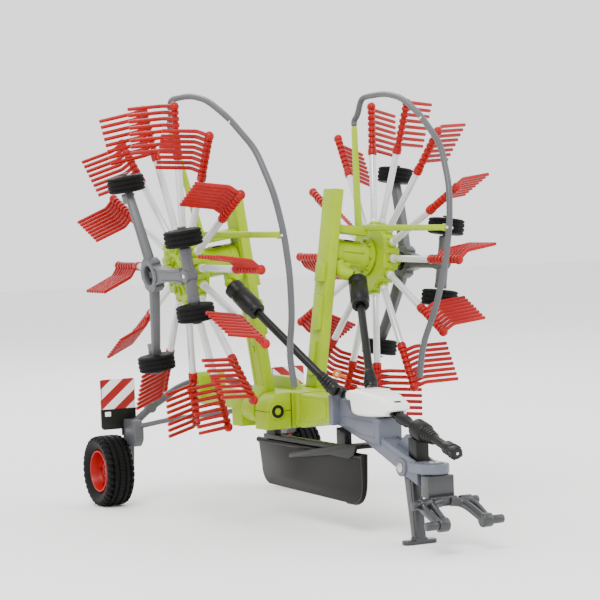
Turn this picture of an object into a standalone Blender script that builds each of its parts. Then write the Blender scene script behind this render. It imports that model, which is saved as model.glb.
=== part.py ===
"""Toy rotary hay rake with its two rotors folded up for the road, standing on wheels and stand.

Metres, +Z up, floor at Z = 0, -Y forwards, and the origin is below the middle of the whole model.
Places on the chassis are (across, ahead of the axle, height). Places on a rotor are (up, forward,
outward) from the rotor's centre, with the boom folded; the left side mirrors the right.
"""
import math

import bmesh
import bpy
from mathutils import Matrix, Vector

GAP = 0.0003            # between pieces that touch
RUN = 0.0005            # round a shaft that turns

# road wheels
TYRE_R = 0.0250
TYRE_WIDTH = 0.0175
TRACK = 0.1540          # between the middles of the tyres
RIM_R = 0.0150
SPINDLE_R = 0.0030

# rotors
ARMS = 14
ROTOR_ACROSS = 0.0717
ROTOR_AHEAD = 0.1310
ROTOR_HEIGHT = 0.1700
LEAN = math.radians(8.27)
SHAFT_R = 0.0036
HUB_R = 0.0215
HUB_HALF = 0.0060
BARREL_R = 0.0082
ARM_R = 0.0023
COMB_START = 0.0745
COMB_END = 0.1100
COMB_R = 0.0022
TINES = 8
TINE_R = 0.0009
TINE_ROOT = 0.0085
TINE_ROOT_LEAN = math.radians(50)
TINE_REACH = 0.0225
TINE_LEAN = math.radians(17)

# carriage under each rotor
RING_R = 0.0104
RING_BORE = 0.0060
RING_OUT = 0.0200       # inner face of the ring, outward of the arms
RING_DEPTH = 0.0075
CASTER_R = 0.0125
CASTER_WIDTH = 0.0120
CASTER_OUT = 0.0225
CASTER_PIN_R = 0.0018
REAR_CASTER = (0.0600, -0.0210)     # up and forward
FRONT_CASTER = (0.0240, 0.0525)

# booms
BOOM_INNER = -0.0433    # inner face, outward of the arms
BOOM_THICK = 0.0068
BOOM_REAR = -0.0030
BOOM_WIDTH = 0.0170
BOOM_TOP = 0.0430
BOOM_FOOT = -0.0920
HINGE_ACROSS = 0.0250
HINGE_HEIGHT = 0.0740
HINGE_R = 0.0030
LUG_R = 0.0085

# gear housing between boom and hub
DRUM_R = 0.0100
FLANGE_R = 0.0130
FLANGE_THICK = 0.0026

# guard bars
GUARD_OUT = -0.0150
GUARD_R = 0.0020
STAY_THICK = 0.0026
STAY_DEPTH = 0.0050

# drive shafts
PIVOT_UP, PIVOT_FORWARD, PIVOT_OUT = -0.0144, 0.0160, -0.0216
KNOB_R = 0.0030
SOCKET_CLEAR = 0.0004
TUBE_R = 0.0065
TUBE_LENGTH = 0.0270
ROD_R = 0.0027
ROD_HIDDEN = 0.0235     # length of rod inside the tube when folded
JOINT_R = 0.0046
JOINT_ACROSS, JOINT_AHEAD, JOINT_HEIGHT = 0.0137, 0.2215, 0.0915

# centre frame
FRAME_HALF = 0.0323
FRAME_REAR = 0.1120
FRAME_FRONT = 0.1640
FRAME_BOTTOM = 0.0620
FRAME_TOP = 0.0860
FRAME_CORNER = 0.0060
CORE_HALF = 0.0140
BOOM_SLOT_GAP = 0.0012
NECK_HALF = 0.0110
NECK_FRONT = 0.2120
NECK_BOTTOM = 0.0690
BEAM_HALF = 0.0075
BEAM_BOTTOM = 0.0680
BEAM_TOP = 0.0790
BEAM_REAR = 0.0060

# axle
ARCH_AHEAD = 0.0120
ARCH_R = 0.0027
ARCH_TOP = 0.0850
KNUCKLE_ACROSS = 0.0640
KNUCKLE_BOTTOM = TYRE_R + 0.0180
KNUCKLE_TOP = TYRE_R + 0.0355
BRACE_R = 0.0017

# warning signs
SIGN_ACROSS = 0.0682
SIGN_WIDTH = 0.0262
SIGN_HEIGHT = 0.0352
SIGN_BOTTOM = 2 * TYRE_R + 0.0045
SIGN_THICK = 0.0016

# swath curtain
CURTAIN_ACROSS = -0.0090
CURTAIN_REAR = 0.1060
CURTAIN_FRONT = 0.2490
CURTAIN_TOP = 0.0500
CURTAIN_BOTTOM = 0.0215
CURTAIN_THICK = 0.0018
CURTAIN_ROLL_R = 0.0019
CURTAIN_CORNER = 0.0120

# drawbar
FLANGE_PLATE = 0.0050
FLANGE_HALF = 0.0130
PANEL_HALF = 0.0078
PILLAR_AHEAD = 0.2670
PANEL_TOP = 0.0840
DECK_TOP = 0.0765
DECK_NOSE = 0.0745
PANEL_KNEE = (0.2440, 0.0600)       # ahead and height where the panel's underside turns
TONGUE_SLOPE = 0.29
TONGUE_RISE = 0.0625                # height of the tongue's top at the pillar
TONGUE_HALF = 0.0068
TONGUE_WALL = 0.0025
TONGUE_END = 0.3095
TONGUE_TIP_LOW = 0.0370
TONGUE_ROOF = 0.0020
EYE_R = 0.0095
EYE_BOTTOM = 0.0450
EYE_TOP = 0.0510
HITCH_AHEAD = 0.3180
POST_REAR, POST_FRONT = 0.2955, 0.3060
POST_TOP = 0.0690
POST_HALF = 0.0045
FIN_TOP = 0.0670

# gearbox cover
COVER_HALF = 0.0128
COVER_REAR = 0.2290
COVER_FRONT = 0.2850
COVER_TOP = 0.0920

# power input shaft
INPUT_REAR = (0.2600, 0.0820)       # ahead and height of its rear end
INPUT_TIP = (0.3460, 0.0572)
INPUT_R = 0.0026
COLLAR_R = 0.0062
COLLAR_REAR, COLLAR_FRONT = 0.0400, 0.0520     # along the shaft
OUTPUT_R = 0.0020
YOKE_R = 0.0042
YOKE_LENGTH = 0.0120

# parking stand
STAND_AHEAD = 0.2920
STAND_HEIGHT = 0.0470
STAND_BOSS_R = 0.0056
STAND_PIN_R = 0.0020
LEG_HALF = 0.0038
FOOT_AHEAD = 0.2985
FOOT_HALF = 0.0120
FOOT_DEPTH = 0.0070
FOOT_THICK = 0.0030

# hitch
HITCH_HALF = 0.0090
HITCH_BOTTOM = 0.0310
HITCH_FRONT = 0.3265
HITCH_TURN_R = 0.0080
HITCH_PIN_R = 0.0020
FORK_REAR = (0.3300, 0.0285)
FORK_TIP = (0.3515, 0.0188)
FORK_HALF = 0.0150
FORK_R = 0.0031
FORK_PIN_R = 0.0024
FORK_PIN_END = 0.0270
REAR_PIN_END = 0.0230

AXLE_Y = (FORK_TIP[0] + FORK_R - TYRE_R) / 2
SIDES = {"left": -1, "right": 1}


# ---- frames of reference ----

def spot(across, ahead, height):
    """World point from across, ahead of the axle and height."""
    return Vector((across, AXLE_Y - ahead, height))


UP = Vector((math.sin(LEAN), 0, math.cos(LEAN)))
FORWARD = Vector((0, -1, 0))
OUTWARD = Vector((math.cos(LEAN), 0, -math.sin(LEAN)))
ROTOR_FRAME = (Matrix.Translation(spot(ROTOR_ACROSS, ROTOR_AHEAD, ROTOR_HEIGHT))
               @ Matrix((UP, FORWARD, OUTWARD)).transposed().to_4x4())
MIRROR = {-1: Matrix.Diagonal((-1, 1, 1, 1)), 1: Matrix.Identity(4)}


def local(world):
    """The right rotor's own coordinates of a world point."""
    return ROTOR_FRAME.inverted() @ world


PIVOT = Vector((PIVOT_UP, PIVOT_FORWARD, PIVOT_OUT))
LOWER_JOINT = local(spot(JOINT_ACROSS, JOINT_AHEAD, JOINT_HEIGHT))
SHAFT_LINE = (LOWER_JOINT - PIVOT).normalized()
HINGE = local(spot(HINGE_ACROSS, ROTOR_AHEAD, HINGE_HEIGHT))


# ---- modelling tools ----

def from_bmesh(bm):
    mesh = bpy.data.meshes.new("piece")
    bm.to_mesh(mesh)
    bm.free()
    return mesh


def along(start, end):
    """Matrix whose Z runs from start to end, at their middle."""
    start, end = Vector(start), Vector(end)
    turn = (end - start).to_track_quat("Z", "Y").to_matrix().to_4x4()
    return Matrix.Translation((start + end) / 2) @ turn


def box(low, high):
    low, high = Vector(low), Vector(high)
    bm = bmesh.new()
    size = Matrix.Diagonal((*[abs(b - a) for a, b in zip(low, high)], 1))
    bmesh.ops.create_cube(bm, size=1, matrix=Matrix.Translation((low + high) / 2) @ size)
    return from_bmesh(bm)


def block(across, ahead, height):
    """A chassis box from three pairs of limits."""
    return box(spot(across[0], ahead[0], height[0]), spot(across[1], ahead[1], height[1]))


def rod(start, end, radius, sides=12, end_radius=None):
    bm = bmesh.new()
    length = (Vector(end) - Vector(start)).length
    last = radius if end_radius is None else end_radius
    bmesh.ops.create_cone(bm, cap_ends=True, segments=sides, radius1=radius, radius2=last,
                          depth=length, matrix=along(start, end))
    return from_bmesh(bm)


def ball(centre, radius, sides=10):
    bm = bmesh.new()
    bmesh.ops.create_uvsphere(bm, u_segments=sides, v_segments=sides // 2 + 1, radius=radius,
                              matrix=Matrix.Translation(centre))
    return from_bmesh(bm)


def freeze(obj):
    """The evaluated shape of an object as a plain mesh in world space; the object goes."""
    bpy.context.view_layer.update()
    graph = bpy.context.evaluated_depsgraph_get()
    mesh = bpy.data.meshes.new_from_object(obj.evaluated_get(graph))
    mesh.transform(obj.matrix_world)
    data = obj.data
    bpy.data.objects.remove(obj)
    if isinstance(data, bpy.types.Curve):
        bpy.data.curves.remove(data)
    bm = bmesh.new()
    bm.from_mesh(mesh)
    bmesh.ops.remove_doubles(bm, verts=bm.verts, dist=1e-6)
    bmesh.ops.recalc_face_normals(bm, faces=bm.faces)
    bm.to_mesh(mesh)
    bm.free()
    return mesh


def section(radius, sides):
    """A many-sided closed curve, as the cross-section of a bar."""
    curve = bpy.data.curves.new("section", "CURVE")
    curve.dimensions = "2D"
    spline = curve.splines.new("POLY")
    spline.points.add(sides - 1)
    for point, place in zip(spline.points, arc((0, 0), radius, 90, -270, sides)):
        point.co = (*place, 0, 1)
    spline.use_cyclic_u = True
    obj = bpy.data.objects.new("section", curve)
    bpy.context.scene.collection.objects.link(obj)
    return obj


def bar(points, radius, sides=6):
    """A bent bar along straight runs, with closed ends."""
    curve = bpy.data.curves.new("bar", "CURVE")
    curve.dimensions = "3D"
    outline = section(radius, sides)
    curve.bevel_mode = "OBJECT"
    curve.bevel_object = outline
    curve.use_fill_caps = True
    spline = curve.splines.new("POLY")
    spline.points.add(len(points) - 1)
    for point, place in zip(spline.points, points):
        point.co = (*place, 1)
    obj = bpy.data.objects.new("bar", curve)
    bpy.context.scene.collection.objects.link(obj)
    mesh = freeze(obj)
    bpy.data.curves.remove(outline.data)
    return mesh


def plate(outline, thickness, matrix):
    """A flat outline in matrix's XY plane, half its thickness to each side."""
    curve = bpy.data.curves.new("plate", "CURVE")
    curve.dimensions = "2D"
    curve.fill_mode = "BOTH"
    curve.extrude = thickness / 2
    spline = curve.splines.new("POLY")
    spline.points.add(len(outline) - 1)
    for point, place in zip(spline.points, outline):
        point.co = (*place, 0, 1)
    spline.use_cyclic_u = True
    obj = bpy.data.objects.new("plate", curve)
    obj.matrix_world = matrix
    bpy.context.scene.collection.objects.link(obj)
    return freeze(obj)


def profile(outline, across):
    """A chassis outline of (ahead, height) points, as thick as the two limits across."""
    middle = (across[0] + across[1]) / 2
    axes = Matrix(((0, 0, 1, middle), (-1, 0, 0, AXLE_Y), (0, 1, 0, 0), (0, 0, 0, 1)))
    return plate(outline, across[1] - across[0], axes)


def arc(centre, radius, start, end, steps):
    """Points on an arc, angles in degrees."""
    angles = [math.radians(start + (end - start) * i / steps) for i in range(steps + 1)]
    return [(centre[0] + radius * math.cos(a), centre[1] + radius * math.sin(a)) for a in angles]


def lathe(outline, steps):
    """A closed outline of (radius, height) points turned about Z."""
    mesh = bpy.data.meshes.new("lathe")
    count = len(outline)
    edges = [(i, (i + 1) % count) for i in range(count)]
    mesh.from_pydata([(r, 0, z) for r, z in outline], edges, [])
    obj = bpy.data.objects.new("lathe", mesh)
    bpy.context.scene.collection.objects.link(obj)
    screw = obj.modifiers.new("turn", "SCREW")
    screw.steps = steps
    screw.render_steps = steps
    screw.use_merge_vertices = True
    screw.merge_threshold = 1e-6
    return freeze(obj)


def moved(mesh, matrix):
    """A copy of a mesh under a matrix."""
    copy = mesh.copy()
    copy.transform(matrix)
    if matrix.determinant() < 0:
        copy.flip_normals()
    return copy


def gathered(meshes):
    bm = bmesh.new()
    for mesh in meshes:
        bm.from_mesh(mesh)
    return from_bmesh(bm)


def combine(body, others, operation):
    """Joins others to a body, or cuts them out of it."""
    base = bpy.data.objects.new("base", body)
    tool = bpy.data.objects.new("tool", gathered(others))
    for obj in (base, tool):
        bpy.context.scene.collection.objects.link(obj)
    step = base.modifiers.new("combine", "BOOLEAN")
    step.solver = "EXACT"
    step.operation = operation
    step.use_self = True
    step.object = tool
    mesh = freeze(base)
    bpy.data.objects.remove(tool)
    return mesh


def joined(*meshes):
    return combine(meshes[0], meshes[1:], "UNION")


def cut(mesh, *cutters):
    return combine(mesh, cutters, "DIFFERENCE")


# ---- colours ----

def paint(name, colour, roughness, metallic=0.0):
    material = bpy.data.materials.new(name)
    material.use_nodes = True
    shader = material.node_tree.nodes["Principled BSDF"]
    shader.inputs["Base Color"].default_value = (*colour, 1)
    shader.inputs["Roughness"].default_value = roughness
    shader.inputs["Metallic"].default_value = metallic
    return material


# ---- pieces of the chassis ----

def slot_limits():
    """Ahead limits of the slot that a boom's foot turns in."""
    rear = ROTOR_AHEAD + BOOM_REAR - BOOM_SLOT_GAP
    return rear, rear + BOOM_WIDTH + 2 * BOOM_SLOT_GAP


def hinge_pin_ends():
    return FRAME_REAR + 0.004, FRAME_FRONT + 0.0006


def centre_frame():
    middle = (FRAME_BOTTOM + FRAME_TOP) / 2
    inset = FRAME_CORNER
    outline = [(FRAME_HALF, FRAME_BOTTOM)]
    outline += arc((FRAME_HALF - inset, FRAME_TOP - inset), inset, 0, 90, 4)
    outline += [(-x, z) for x, z in reversed(outline)]
    depth = FRAME_FRONT - FRAME_REAR
    axes = Matrix(((1, 0, 0, 0), (0, 0, -1, AXLE_Y - (FRAME_REAR + FRAME_FRONT) / 2),
                   (0, 1, 0, 0), (0, 0, 0, 1)))
    body = plate(outline, depth, axes)
    rear, front = slot_limits()
    for side in SIDES.values():
        reach = (side * CORE_HALF, side * (FRAME_HALF + 0.01))
        body = cut(body, block(reach, (rear, front), (FRAME_BOTTOM - 0.01, FRAME_TOP + 0.01)))
    back, nose = hinge_pin_ends()
    pins = [rod(spot(side * HINGE_ACROSS, back, HINGE_HEIGHT),
                spot(side * HINGE_ACROSS, nose, HINGE_HEIGHT), HINGE_R) for side in SIDES.values()]
    neck = profile([(FRAME_FRONT - 0.006, FRAME_BOTTOM + 0.001), (NECK_FRONT, NECK_BOTTOM),
                    (NECK_FRONT, FRAME_TOP - 0.001), (FRAME_FRONT - 0.006, FRAME_TOP - 0.001)],
                   (-NECK_HALF, NECK_HALF))
    beam = block((-BEAM_HALF, BEAM_HALF), (BEAM_REAR, FRAME_REAR + 0.006), (BEAM_BOTTOM, BEAM_TOP))
    rib = profile([(FRAME_REAR + 0.004, middle), (FRAME_REAR + 0.004, FRAME_TOP + 0.007),
                   (FRAME_REAR + 0.030, FRAME_TOP + 0.007), (FRAME_REAR + 0.040, middle)],
                  (-0.0025, 0.0025))
    saddle = cut(block((-0.0105, 0.0105), (ARCH_AHEAD - 0.006, ARCH_AHEAD + 0.006),
                       (BEAM_BOTTOM + 0.002, ARCH_TOP + ARCH_R + 0.003)),
                 rod(spot(-0.02, ARCH_AHEAD, ARCH_TOP), spot(0.02, ARCH_AHEAD, ARCH_TOP),
                     ARCH_R + GAP))
    return joined(body, neck, beam, rib, saddle, *pins)


def underside(ahead):
    """Height of the drawbar's lower edge between its flange and its knee."""
    start, low = NECK_FRONT + GAP + 0.002, NECK_BOTTOM - 0.001
    return low + (PANEL_KNEE[1] - low) * (ahead - start) / (PANEL_KNEE[0] - start)


def tongue_top(ahead):
    return TONGUE_RISE - (ahead - PILLAR_AHEAD) * TONGUE_SLOPE


def drawbar():
    rear = NECK_FRONT + GAP
    flange = block((-FLANGE_HALF, FLANGE_HALF), (rear, rear + FLANGE_PLATE),
                   (NECK_BOTTOM - 0.0015, FRAME_TOP + 0.001))
    panel = profile([(rear + 0.002, underside(rear + 0.002)), PANEL_KNEE,
                     (PILLAR_AHEAD, tongue_top(PILLAR_AHEAD) - 0.004), (PILLAR_AHEAD, DECK_NOSE),
                     (PILLAR_AHEAD - 0.008, DECK_TOP), (COVER_REAR + 0.004, DECK_TOP),
                     (COVER_REAR - 0.004, PANEL_TOP), (rear + 0.002, PANEL_TOP)],
                    (-PANEL_HALF, PANEL_HALF))
    tongue = profile([(PANEL_KNEE[0] - 0.002, PANEL_KNEE[1] + 0.001), (TONGUE_END, TONGUE_TIP_LOW),
                      (TONGUE_END, tongue_top(TONGUE_END)),
                      (PILLAR_AHEAD - 0.004, tongue_top(PILLAR_AHEAD - 0.004))],
                     (-TONGUE_HALF, TONGUE_HALF))
    inner = TONGUE_HALF - TONGUE_WALL
    back, front = STAND_AHEAD - 0.018, TONGUE_END - 0.004
    channel = profile([(back, 0.0300), (front, 0.0300), (front, tongue_top(front) - TONGUE_ROOF),
                       (back, tongue_top(back) - TONGUE_ROOF)], (-inner, inner))
    tongue = cut(tongue, channel)
    eye = block((-EYE_R, EYE_R), (TONGUE_END - 0.008, HITCH_AHEAD), (EYE_BOTTOM, EYE_TOP))
    nose = rod(spot(0, HITCH_AHEAD, EYE_BOTTOM), spot(0, HITCH_AHEAD, EYE_TOP), EYE_R, 20)
    post = profile([(POST_REAR, tongue_top(POST_REAR) - 0.001), (POST_REAR, POST_TOP),
                    (POST_FRONT, POST_TOP), (POST_FRONT, tongue_top(POST_FRONT) - 0.001)],
                   (-POST_HALF, POST_HALF))
    fin = profile([(0.2760, tongue_top(0.2760) - 0.001),
                   (POST_REAR + 0.002, tongue_top(POST_REAR + 0.002) - 0.001),
                   (POST_REAR + 0.002, FIN_TOP), (0.2880, FIN_TOP)], (-0.0012, 0.0012))
    cradle = rod(input_point(COLLAR_REAR - 0.004), input_point(COLLAR_FRONT + 0.02),
                 COLLAR_R + 2 * GAP, 16)
    post = cut(joined(post, fin), cradle)
    cheeks = [rod(spot(side * inner, STAND_AHEAD, STAND_HEIGHT),
                  spot(side * 0.0082, STAND_AHEAD, STAND_HEIGHT), STAND_BOSS_R, 16)
              for side in SIDES.values()]
    body = joined(panel, flange, tongue, eye, nose, post, *cheeks)
    pin = rod(spot(0, HITCH_AHEAD, 0.02), spot(0, HITCH_AHEAD, 0.06), HITCH_PIN_R + GAP)
    cross = rod(spot(-0.02, STAND_AHEAD, STAND_HEIGHT), spot(0.02, STAND_AHEAD, STAND_HEIGHT),
                STAND_PIN_R + GAP)
    return cut(body, pin, cross)


def input_point(distance, lift=0.0):
    """A point on the power input shaft, from its rear end."""
    start, end = Vector(INPUT_REAR), Vector(INPUT_TIP)
    line = (end - start).normalized()
    place = start + line * distance
    return spot(0, place[0], place[1] + lift)


def gearbox_cover():
    outline = [(COVER_REAR, PANEL_TOP + 0.001)]
    outline += arc((COVER_REAR + 0.006, COVER_TOP - 0.006), 0.006, 180, 90, 3)[1:]
    outline += [(COVER_FRONT - 0.022, COVER_TOP - 0.0005), (COVER_FRONT, COVER_TOP - 0.006),
                (COVER_FRONT, COVER_TOP - 0.0085), (COVER_FRONT - 0.008, COVER_TOP - 0.009),
                (COVER_FRONT - 0.012, DECK_TOP - 0.001), (COVER_REAR + 0.014, DECK_TOP - 0.001),
                (COVER_REAR + 0.012, PANEL_TOP + 0.001)]
    shell = profile(outline, (-COVER_HALF, COVER_HALF))
    inner = PANEL_HALF + 2 * GAP
    hollow = block((-inner, inner), (COVER_REAR - 0.01, COVER_FRONT + 0.01),
                   (DECK_TOP - 0.02, COVER_TOP - 0.0045))
    mouths = [rod(*output_ends(side), OUTPUT_R + 2 * GAP, 8) for side in SIDES.values()]
    return cut(shell, hollow, *mouths)


def output_ends(side):
    """Ends of the short shaft from the gearbox to one drive shaft's joint."""
    start = spot(side * 0.0050, COVER_REAR + 0.008, 0.0850)
    joint = spot(side * JOINT_ACROSS, JOINT_AHEAD, JOINT_HEIGHT)
    return start, joint - (joint - start).normalized() * (JOINT_R + 2 * GAP)


def power_input():
    top = COVER_TOP - 0.0045 - GAP
    gearbox = block((-PANEL_HALF, PANEL_HALF), (COVER_REAR + 0.006, PILLAR_AHEAD - 0.002),
                    (DECK_TOP + GAP, top))
    length = (Vector(INPUT_TIP) - Vector(INPUT_REAR)).length
    shaft = rod(input_point(0), input_point(length - 0.002), INPUT_R)
    collar = rod(input_point(COLLAR_REAR), input_point(COLLAR_FRONT), COLLAR_R, 16)
    bellows = rod(input_point(COLLAR_FRONT - 0.001), input_point(COLLAR_FRONT + 0.010), 0.0048, 12,
                  0.0038)
    yoke = rod(input_point(length - YOKE_LENGTH), input_point(length), YOKE_R, 8)
    outputs = [rod(*output_ends(side), OUTPUT_R, 8) for side in SIDES.values()]
    return joined(gearbox, shaft, collar, bellows, yoke, *outputs)


def axle_beam():
    run = [(0.0, ARCH_TOP), (0.010, ARCH_TOP), (0.024, 0.0812), (0.036, 0.0745), (0.048, 0.0675),
           (KNUCKLE_ACROSS - 0.001, KNUCKLE_TOP - 0.005)]
    route = [spot(-x, ARCH_AHEAD, z) for x, z in reversed(run[1:])]
    route += [spot(x, ARCH_AHEAD, z) for x, z in run[1:]]
    pieces = [bar(route, ARCH_R)]
    inner = TRACK / 2 - TYRE_WIDTH / 2
    for side in SIDES.values():
        low, high = side * (KNUCKLE_ACROSS - 0.0040), side * (KNUCKLE_ACROSS + 0.0025)
        pieces.append(profile([(0.0050, KNUCKLE_BOTTOM), (0.0165, KNUCKLE_BOTTOM),
                               (0.0200, KNUCKLE_BOTTOM + 0.005), (0.0200, KNUCKLE_TOP),
                               (0.0050, KNUCKLE_TOP)], tuple(sorted((low, high)))))
        pieces.append(profile([(-0.0045, TYRE_R - 0.0045), (0.0045, TYRE_R - 0.0045),
                               (0.0140, KNUCKLE_BOTTOM + 0.003), (0.0055, KNUCKLE_BOTTOM + 0.003)],
                              tuple(sorted((low + side * 0.0005, high - side * 0.0005)))))
        pieces.append(rod(spot(side * (KNUCKLE_ACROSS), 0, TYRE_R),
                          spot(side * (TRACK / 2 + 0.004), 0, TYRE_R), SPINDLE_R))
        pieces.append(bar([spot(side * (KNUCKLE_ACROSS - 0.001), 0.0170, KNUCKLE_TOP - 0.005),
                           spot(side * 0.0440, 0.0420, 0.0620),
                           spot(side * 0.0205, FRAME_REAR - 0.0020, 0.0715),
                           spot(side * 0.0205, FRAME_REAR - GAP, 0.0715)], BRACE_R, 4))
    return joined(*pieces)


def tyre():
    half = TYRE_WIDTH / 2
    inner = RIM_R + GAP
    outline = [(inner, half - 0.0030), (TYRE_R - 0.0035, half), (TYRE_R - 0.0008, half - 0.0025),
               (TYRE_R, half - 0.0055), (TYRE_R, -half + 0.0055),
               (TYRE_R - 0.0008, -half + 0.0025), (TYRE_R - 0.0035, -half),
               (inner, -half + 0.0030)]
    return lathe(outline, 28)


def rim():
    """Dished outwards (+Z) with a flat web that the spindle passes through."""
    half = TYRE_WIDTH / 2 - 0.0030
    bore = SPINDLE_R + RUN
    outline = [(RIM_R, half), (RIM_R, -half), (bore, -half), (bore, 0.0042), (0.0055, 0.0042),
               (0.0066, 0.0008), (RIM_R - 0.0034, 0.0016), (RIM_R - 0.0016, half)]
    return lathe(outline, 18)


def sign(side):
    face = block((side * (SIGN_ACROSS - SIGN_WIDTH / 2), side * (SIGN_ACROSS + SIGN_WIDTH / 2)),
                 (ARCH_AHEAD - 0.007 - GAP - SIGN_THICK, ARCH_AHEAD - 0.007 - GAP),
                 (SIGN_BOTTOM, SIGN_BOTTOM + SIGN_HEIGHT))
    tab = block((side * (KNUCKLE_ACROSS - 0.003), side * (KNUCKLE_ACROSS + 0.002)),
                (ARCH_AHEAD - 0.007 - GAP - SIGN_THICK, ARCH_AHEAD - 0.007 - GAP),
                (KNUCKLE_BOTTOM + 0.008, SIGN_BOTTOM + 0.002))
    return joined(face, tab)


def curtain_bracket():
    low = CURTAIN_TOP + CURTAIN_ROLL_R + GAP
    outer, inner = CURTAIN_ACROSS - 0.0030, CURTAIN_ACROSS + 0.0030
    rail = block((outer, inner), (0.1180, 0.2340), (low, low + 0.0030))
    across = (outer + 0.0004, inner - 0.0004)
    rear_post = block(across, (0.1210, 0.1340), (low + 0.001, FRAME_BOTTOM - GAP))
    front_post = profile([(0.2190, low + 0.001), (0.2300, low + 0.001),
                          (0.2300, underside(0.2300) - GAP), (0.2190, underside(0.2190) - GAP)],
                         across)
    flat = Matrix(((0, 1, 0, 0), (-1, 0, 0, AXLE_Y), (0, 0, 1, low + 0.0018), (0, 0, 0, 1)))
    arm = plate([(0.1500, outer - 0.0005), (0.2330, outer - 0.0050), (0.2420, inner),
                 (0.1500, inner - 0.001)], 0.0018, flat)
    return joined(rail, rear_post, front_post, arm)


def swath_curtain():
    corner = CURTAIN_CORNER
    slope = 0.0015
    outline = [(CURTAIN_REAR, CURTAIN_TOP), (CURTAIN_FRONT, CURTAIN_TOP)]
    outline += arc((CURTAIN_FRONT - corner, CURTAIN_BOTTOM + corner), corner, 0, -90, 4)
    outline += arc((CURTAIN_REAR + corner + 0.004, CURTAIN_BOTTOM + corner + slope), corner,
                   -90, -180, 4)
    sheet = profile(outline, (CURTAIN_ACROSS - CURTAIN_THICK / 2,
                              CURTAIN_ACROSS + CURTAIN_THICK / 2))
    top = rod(spot(CURTAIN_ACROSS, CURTAIN_REAR - 0.001, CURTAIN_TOP),
              spot(CURTAIN_ACROSS, CURTAIN_FRONT + 0.001, CURTAIN_TOP), CURTAIN_ROLL_R, 10)
    front = rod(spot(CURTAIN_ACROSS, CURTAIN_FRONT, CURTAIN_BOTTOM + corner * 0.8),
                spot(CURTAIN_ACROSS, CURTAIN_FRONT, CURTAIN_TOP), CURTAIN_ROLL_R, 10)
    return joined(sheet, top, front)


def stand():
    boss = rod(spot(-LEG_HALF, STAND_AHEAD, STAND_HEIGHT), spot(LEG_HALF, STAND_AHEAD, STAND_HEIGHT),
               STAND_BOSS_R, 16)
    leg = profile([(STAND_AHEAD - 0.0054, STAND_HEIGHT), (STAND_AHEAD + 0.0054, STAND_HEIGHT),
                   (FOOT_AHEAD + 0.0024, FOOT_THICK - 0.001), (FOOT_AHEAD - 0.0024, FOOT_THICK - 0.001)],
                  (-LEG_HALF + 0.0002, LEG_HALF - 0.0002))
    foot = block((-FOOT_HALF, FOOT_HALF), (FOOT_AHEAD - FOOT_DEPTH / 2, FOOT_AHEAD + FOOT_DEPTH / 2),
                 (0, FOOT_THICK))
    bore = rod(spot(-0.02, STAND_AHEAD, STAND_HEIGHT), spot(0.02, STAND_AHEAD, STAND_HEIGHT),
               STAND_PIN_R + GAP)
    return cut(joined(leg, boss, foot), bore)


def stand_pin():
    ends = [spot(x, STAND_AHEAD, STAND_HEIGHT) for x in (-0.0088, 0.0088)]
    heads = [rod(end, end + Vector((math.copysign(0.0010, end.x), 0, 0)), 0.0032, 12)
             for end in (ends[0] - Vector((-0.0002, 0, 0)), ends[1] - Vector((0.0002, 0, 0)))]
    return joined(rod(*ends, STAND_PIN_R), *heads)


def hitch():
    top = EYE_BOTTOM - 2 * GAP
    core = rod(spot(0, HITCH_AHEAD, HITCH_BOTTOM), spot(0, HITCH_AHEAD, top), HITCH_TURN_R, 20)
    face = block((-HITCH_HALF, HITCH_HALF), (HITCH_AHEAD, HITCH_FRONT), (HITCH_BOTTOM, top))
    rear = FORK_REAR
    tip = FORK_TIP
    knee = FORK_HALF - 0.003
    fork = bar([spot(-FORK_HALF, *tip), spot(-knee - 0.001, 0.3345, 0.0265),
                spot(-knee + 0.003, *rear), spot(knee - 0.003, *rear),
                spot(knee + 0.001, 0.3345, 0.0265), spot(FORK_HALF, *tip)], FORK_R)
    web = block((-HITCH_HALF + 0.001, HITCH_HALF - 0.001), (HITCH_FRONT - 0.006, rear[0] + 0.001),
                (rear[1] - 0.0020, HITCH_BOTTOM + 0.001))
    pins = []
    for side in SIDES.values():
        pins.append(rod(spot(side * FORK_HALF, *tip), spot(side * FORK_PIN_END, *tip), FORK_PIN_R, 8))
        pins.append(ball(spot(side * FORK_HALF, *tip), FORK_R + 0.0002, 8))
        pins.append(rod(spot(side * (knee - 0.002), *rear), spot(side * REAR_PIN_END, *rear),
                        FORK_PIN_R, 8))
    body = joined(core, face, web, fork, *pins)
    return cut(body, rod(spot(0, HITCH_AHEAD, HITCH_BOTTOM + 0.002), spot(0, HITCH_AHEAD, 0.06),
                         HITCH_PIN_R + GAP))


def hitch_pin():
    head = EYE_TOP + GAP
    shank = rod(spot(0, HITCH_AHEAD, HITCH_BOTTOM + 0.0026), spot(0, HITCH_AHEAD, head + 0.0005),
                HITCH_PIN_R)
    return joined(shank, rod(spot(0, HITCH_AHEAD, head), spot(0, HITCH_AHEAD, head + 0.0014),
                             0.0033, 12))


# ---- pieces of a folding side, in the rotor's coordinates ----

def boom():
    tube = box((BOOM_FOOT, BOOM_REAR, BOOM_INNER),
               (BOOM_TOP, BOOM_REAR + BOOM_WIDTH, BOOM_INNER + BOOM_THICK))
    edge = [(BOOM_FOOT + 0.006, BOOM_INNER + 0.0002),
            (BOOM_FOOT + 0.006, BOOM_INNER + BOOM_THICK - 0.0002)]
    lug = edge + arc((HINGE.x, HINGE.z), LUG_R, 40, 285, 14)
    turn = Matrix(((1, 0, 0, 0), (0, 0, -1, BOOM_REAR + BOOM_WIDTH / 2), (0, 1, 0, 0), (0, 0, 0, 1)))
    foot = plate(lug, BOOM_WIDTH - 0.0004, turn)
    bore = rod((HINGE.x, BOOM_REAR - 0.01, HINGE.z), (HINGE.x, BOOM_REAR + BOOM_WIDTH + 0.01, HINGE.z),
               HINGE_R + RUN)
    return cut(joined(tube, foot), bore)


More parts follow.
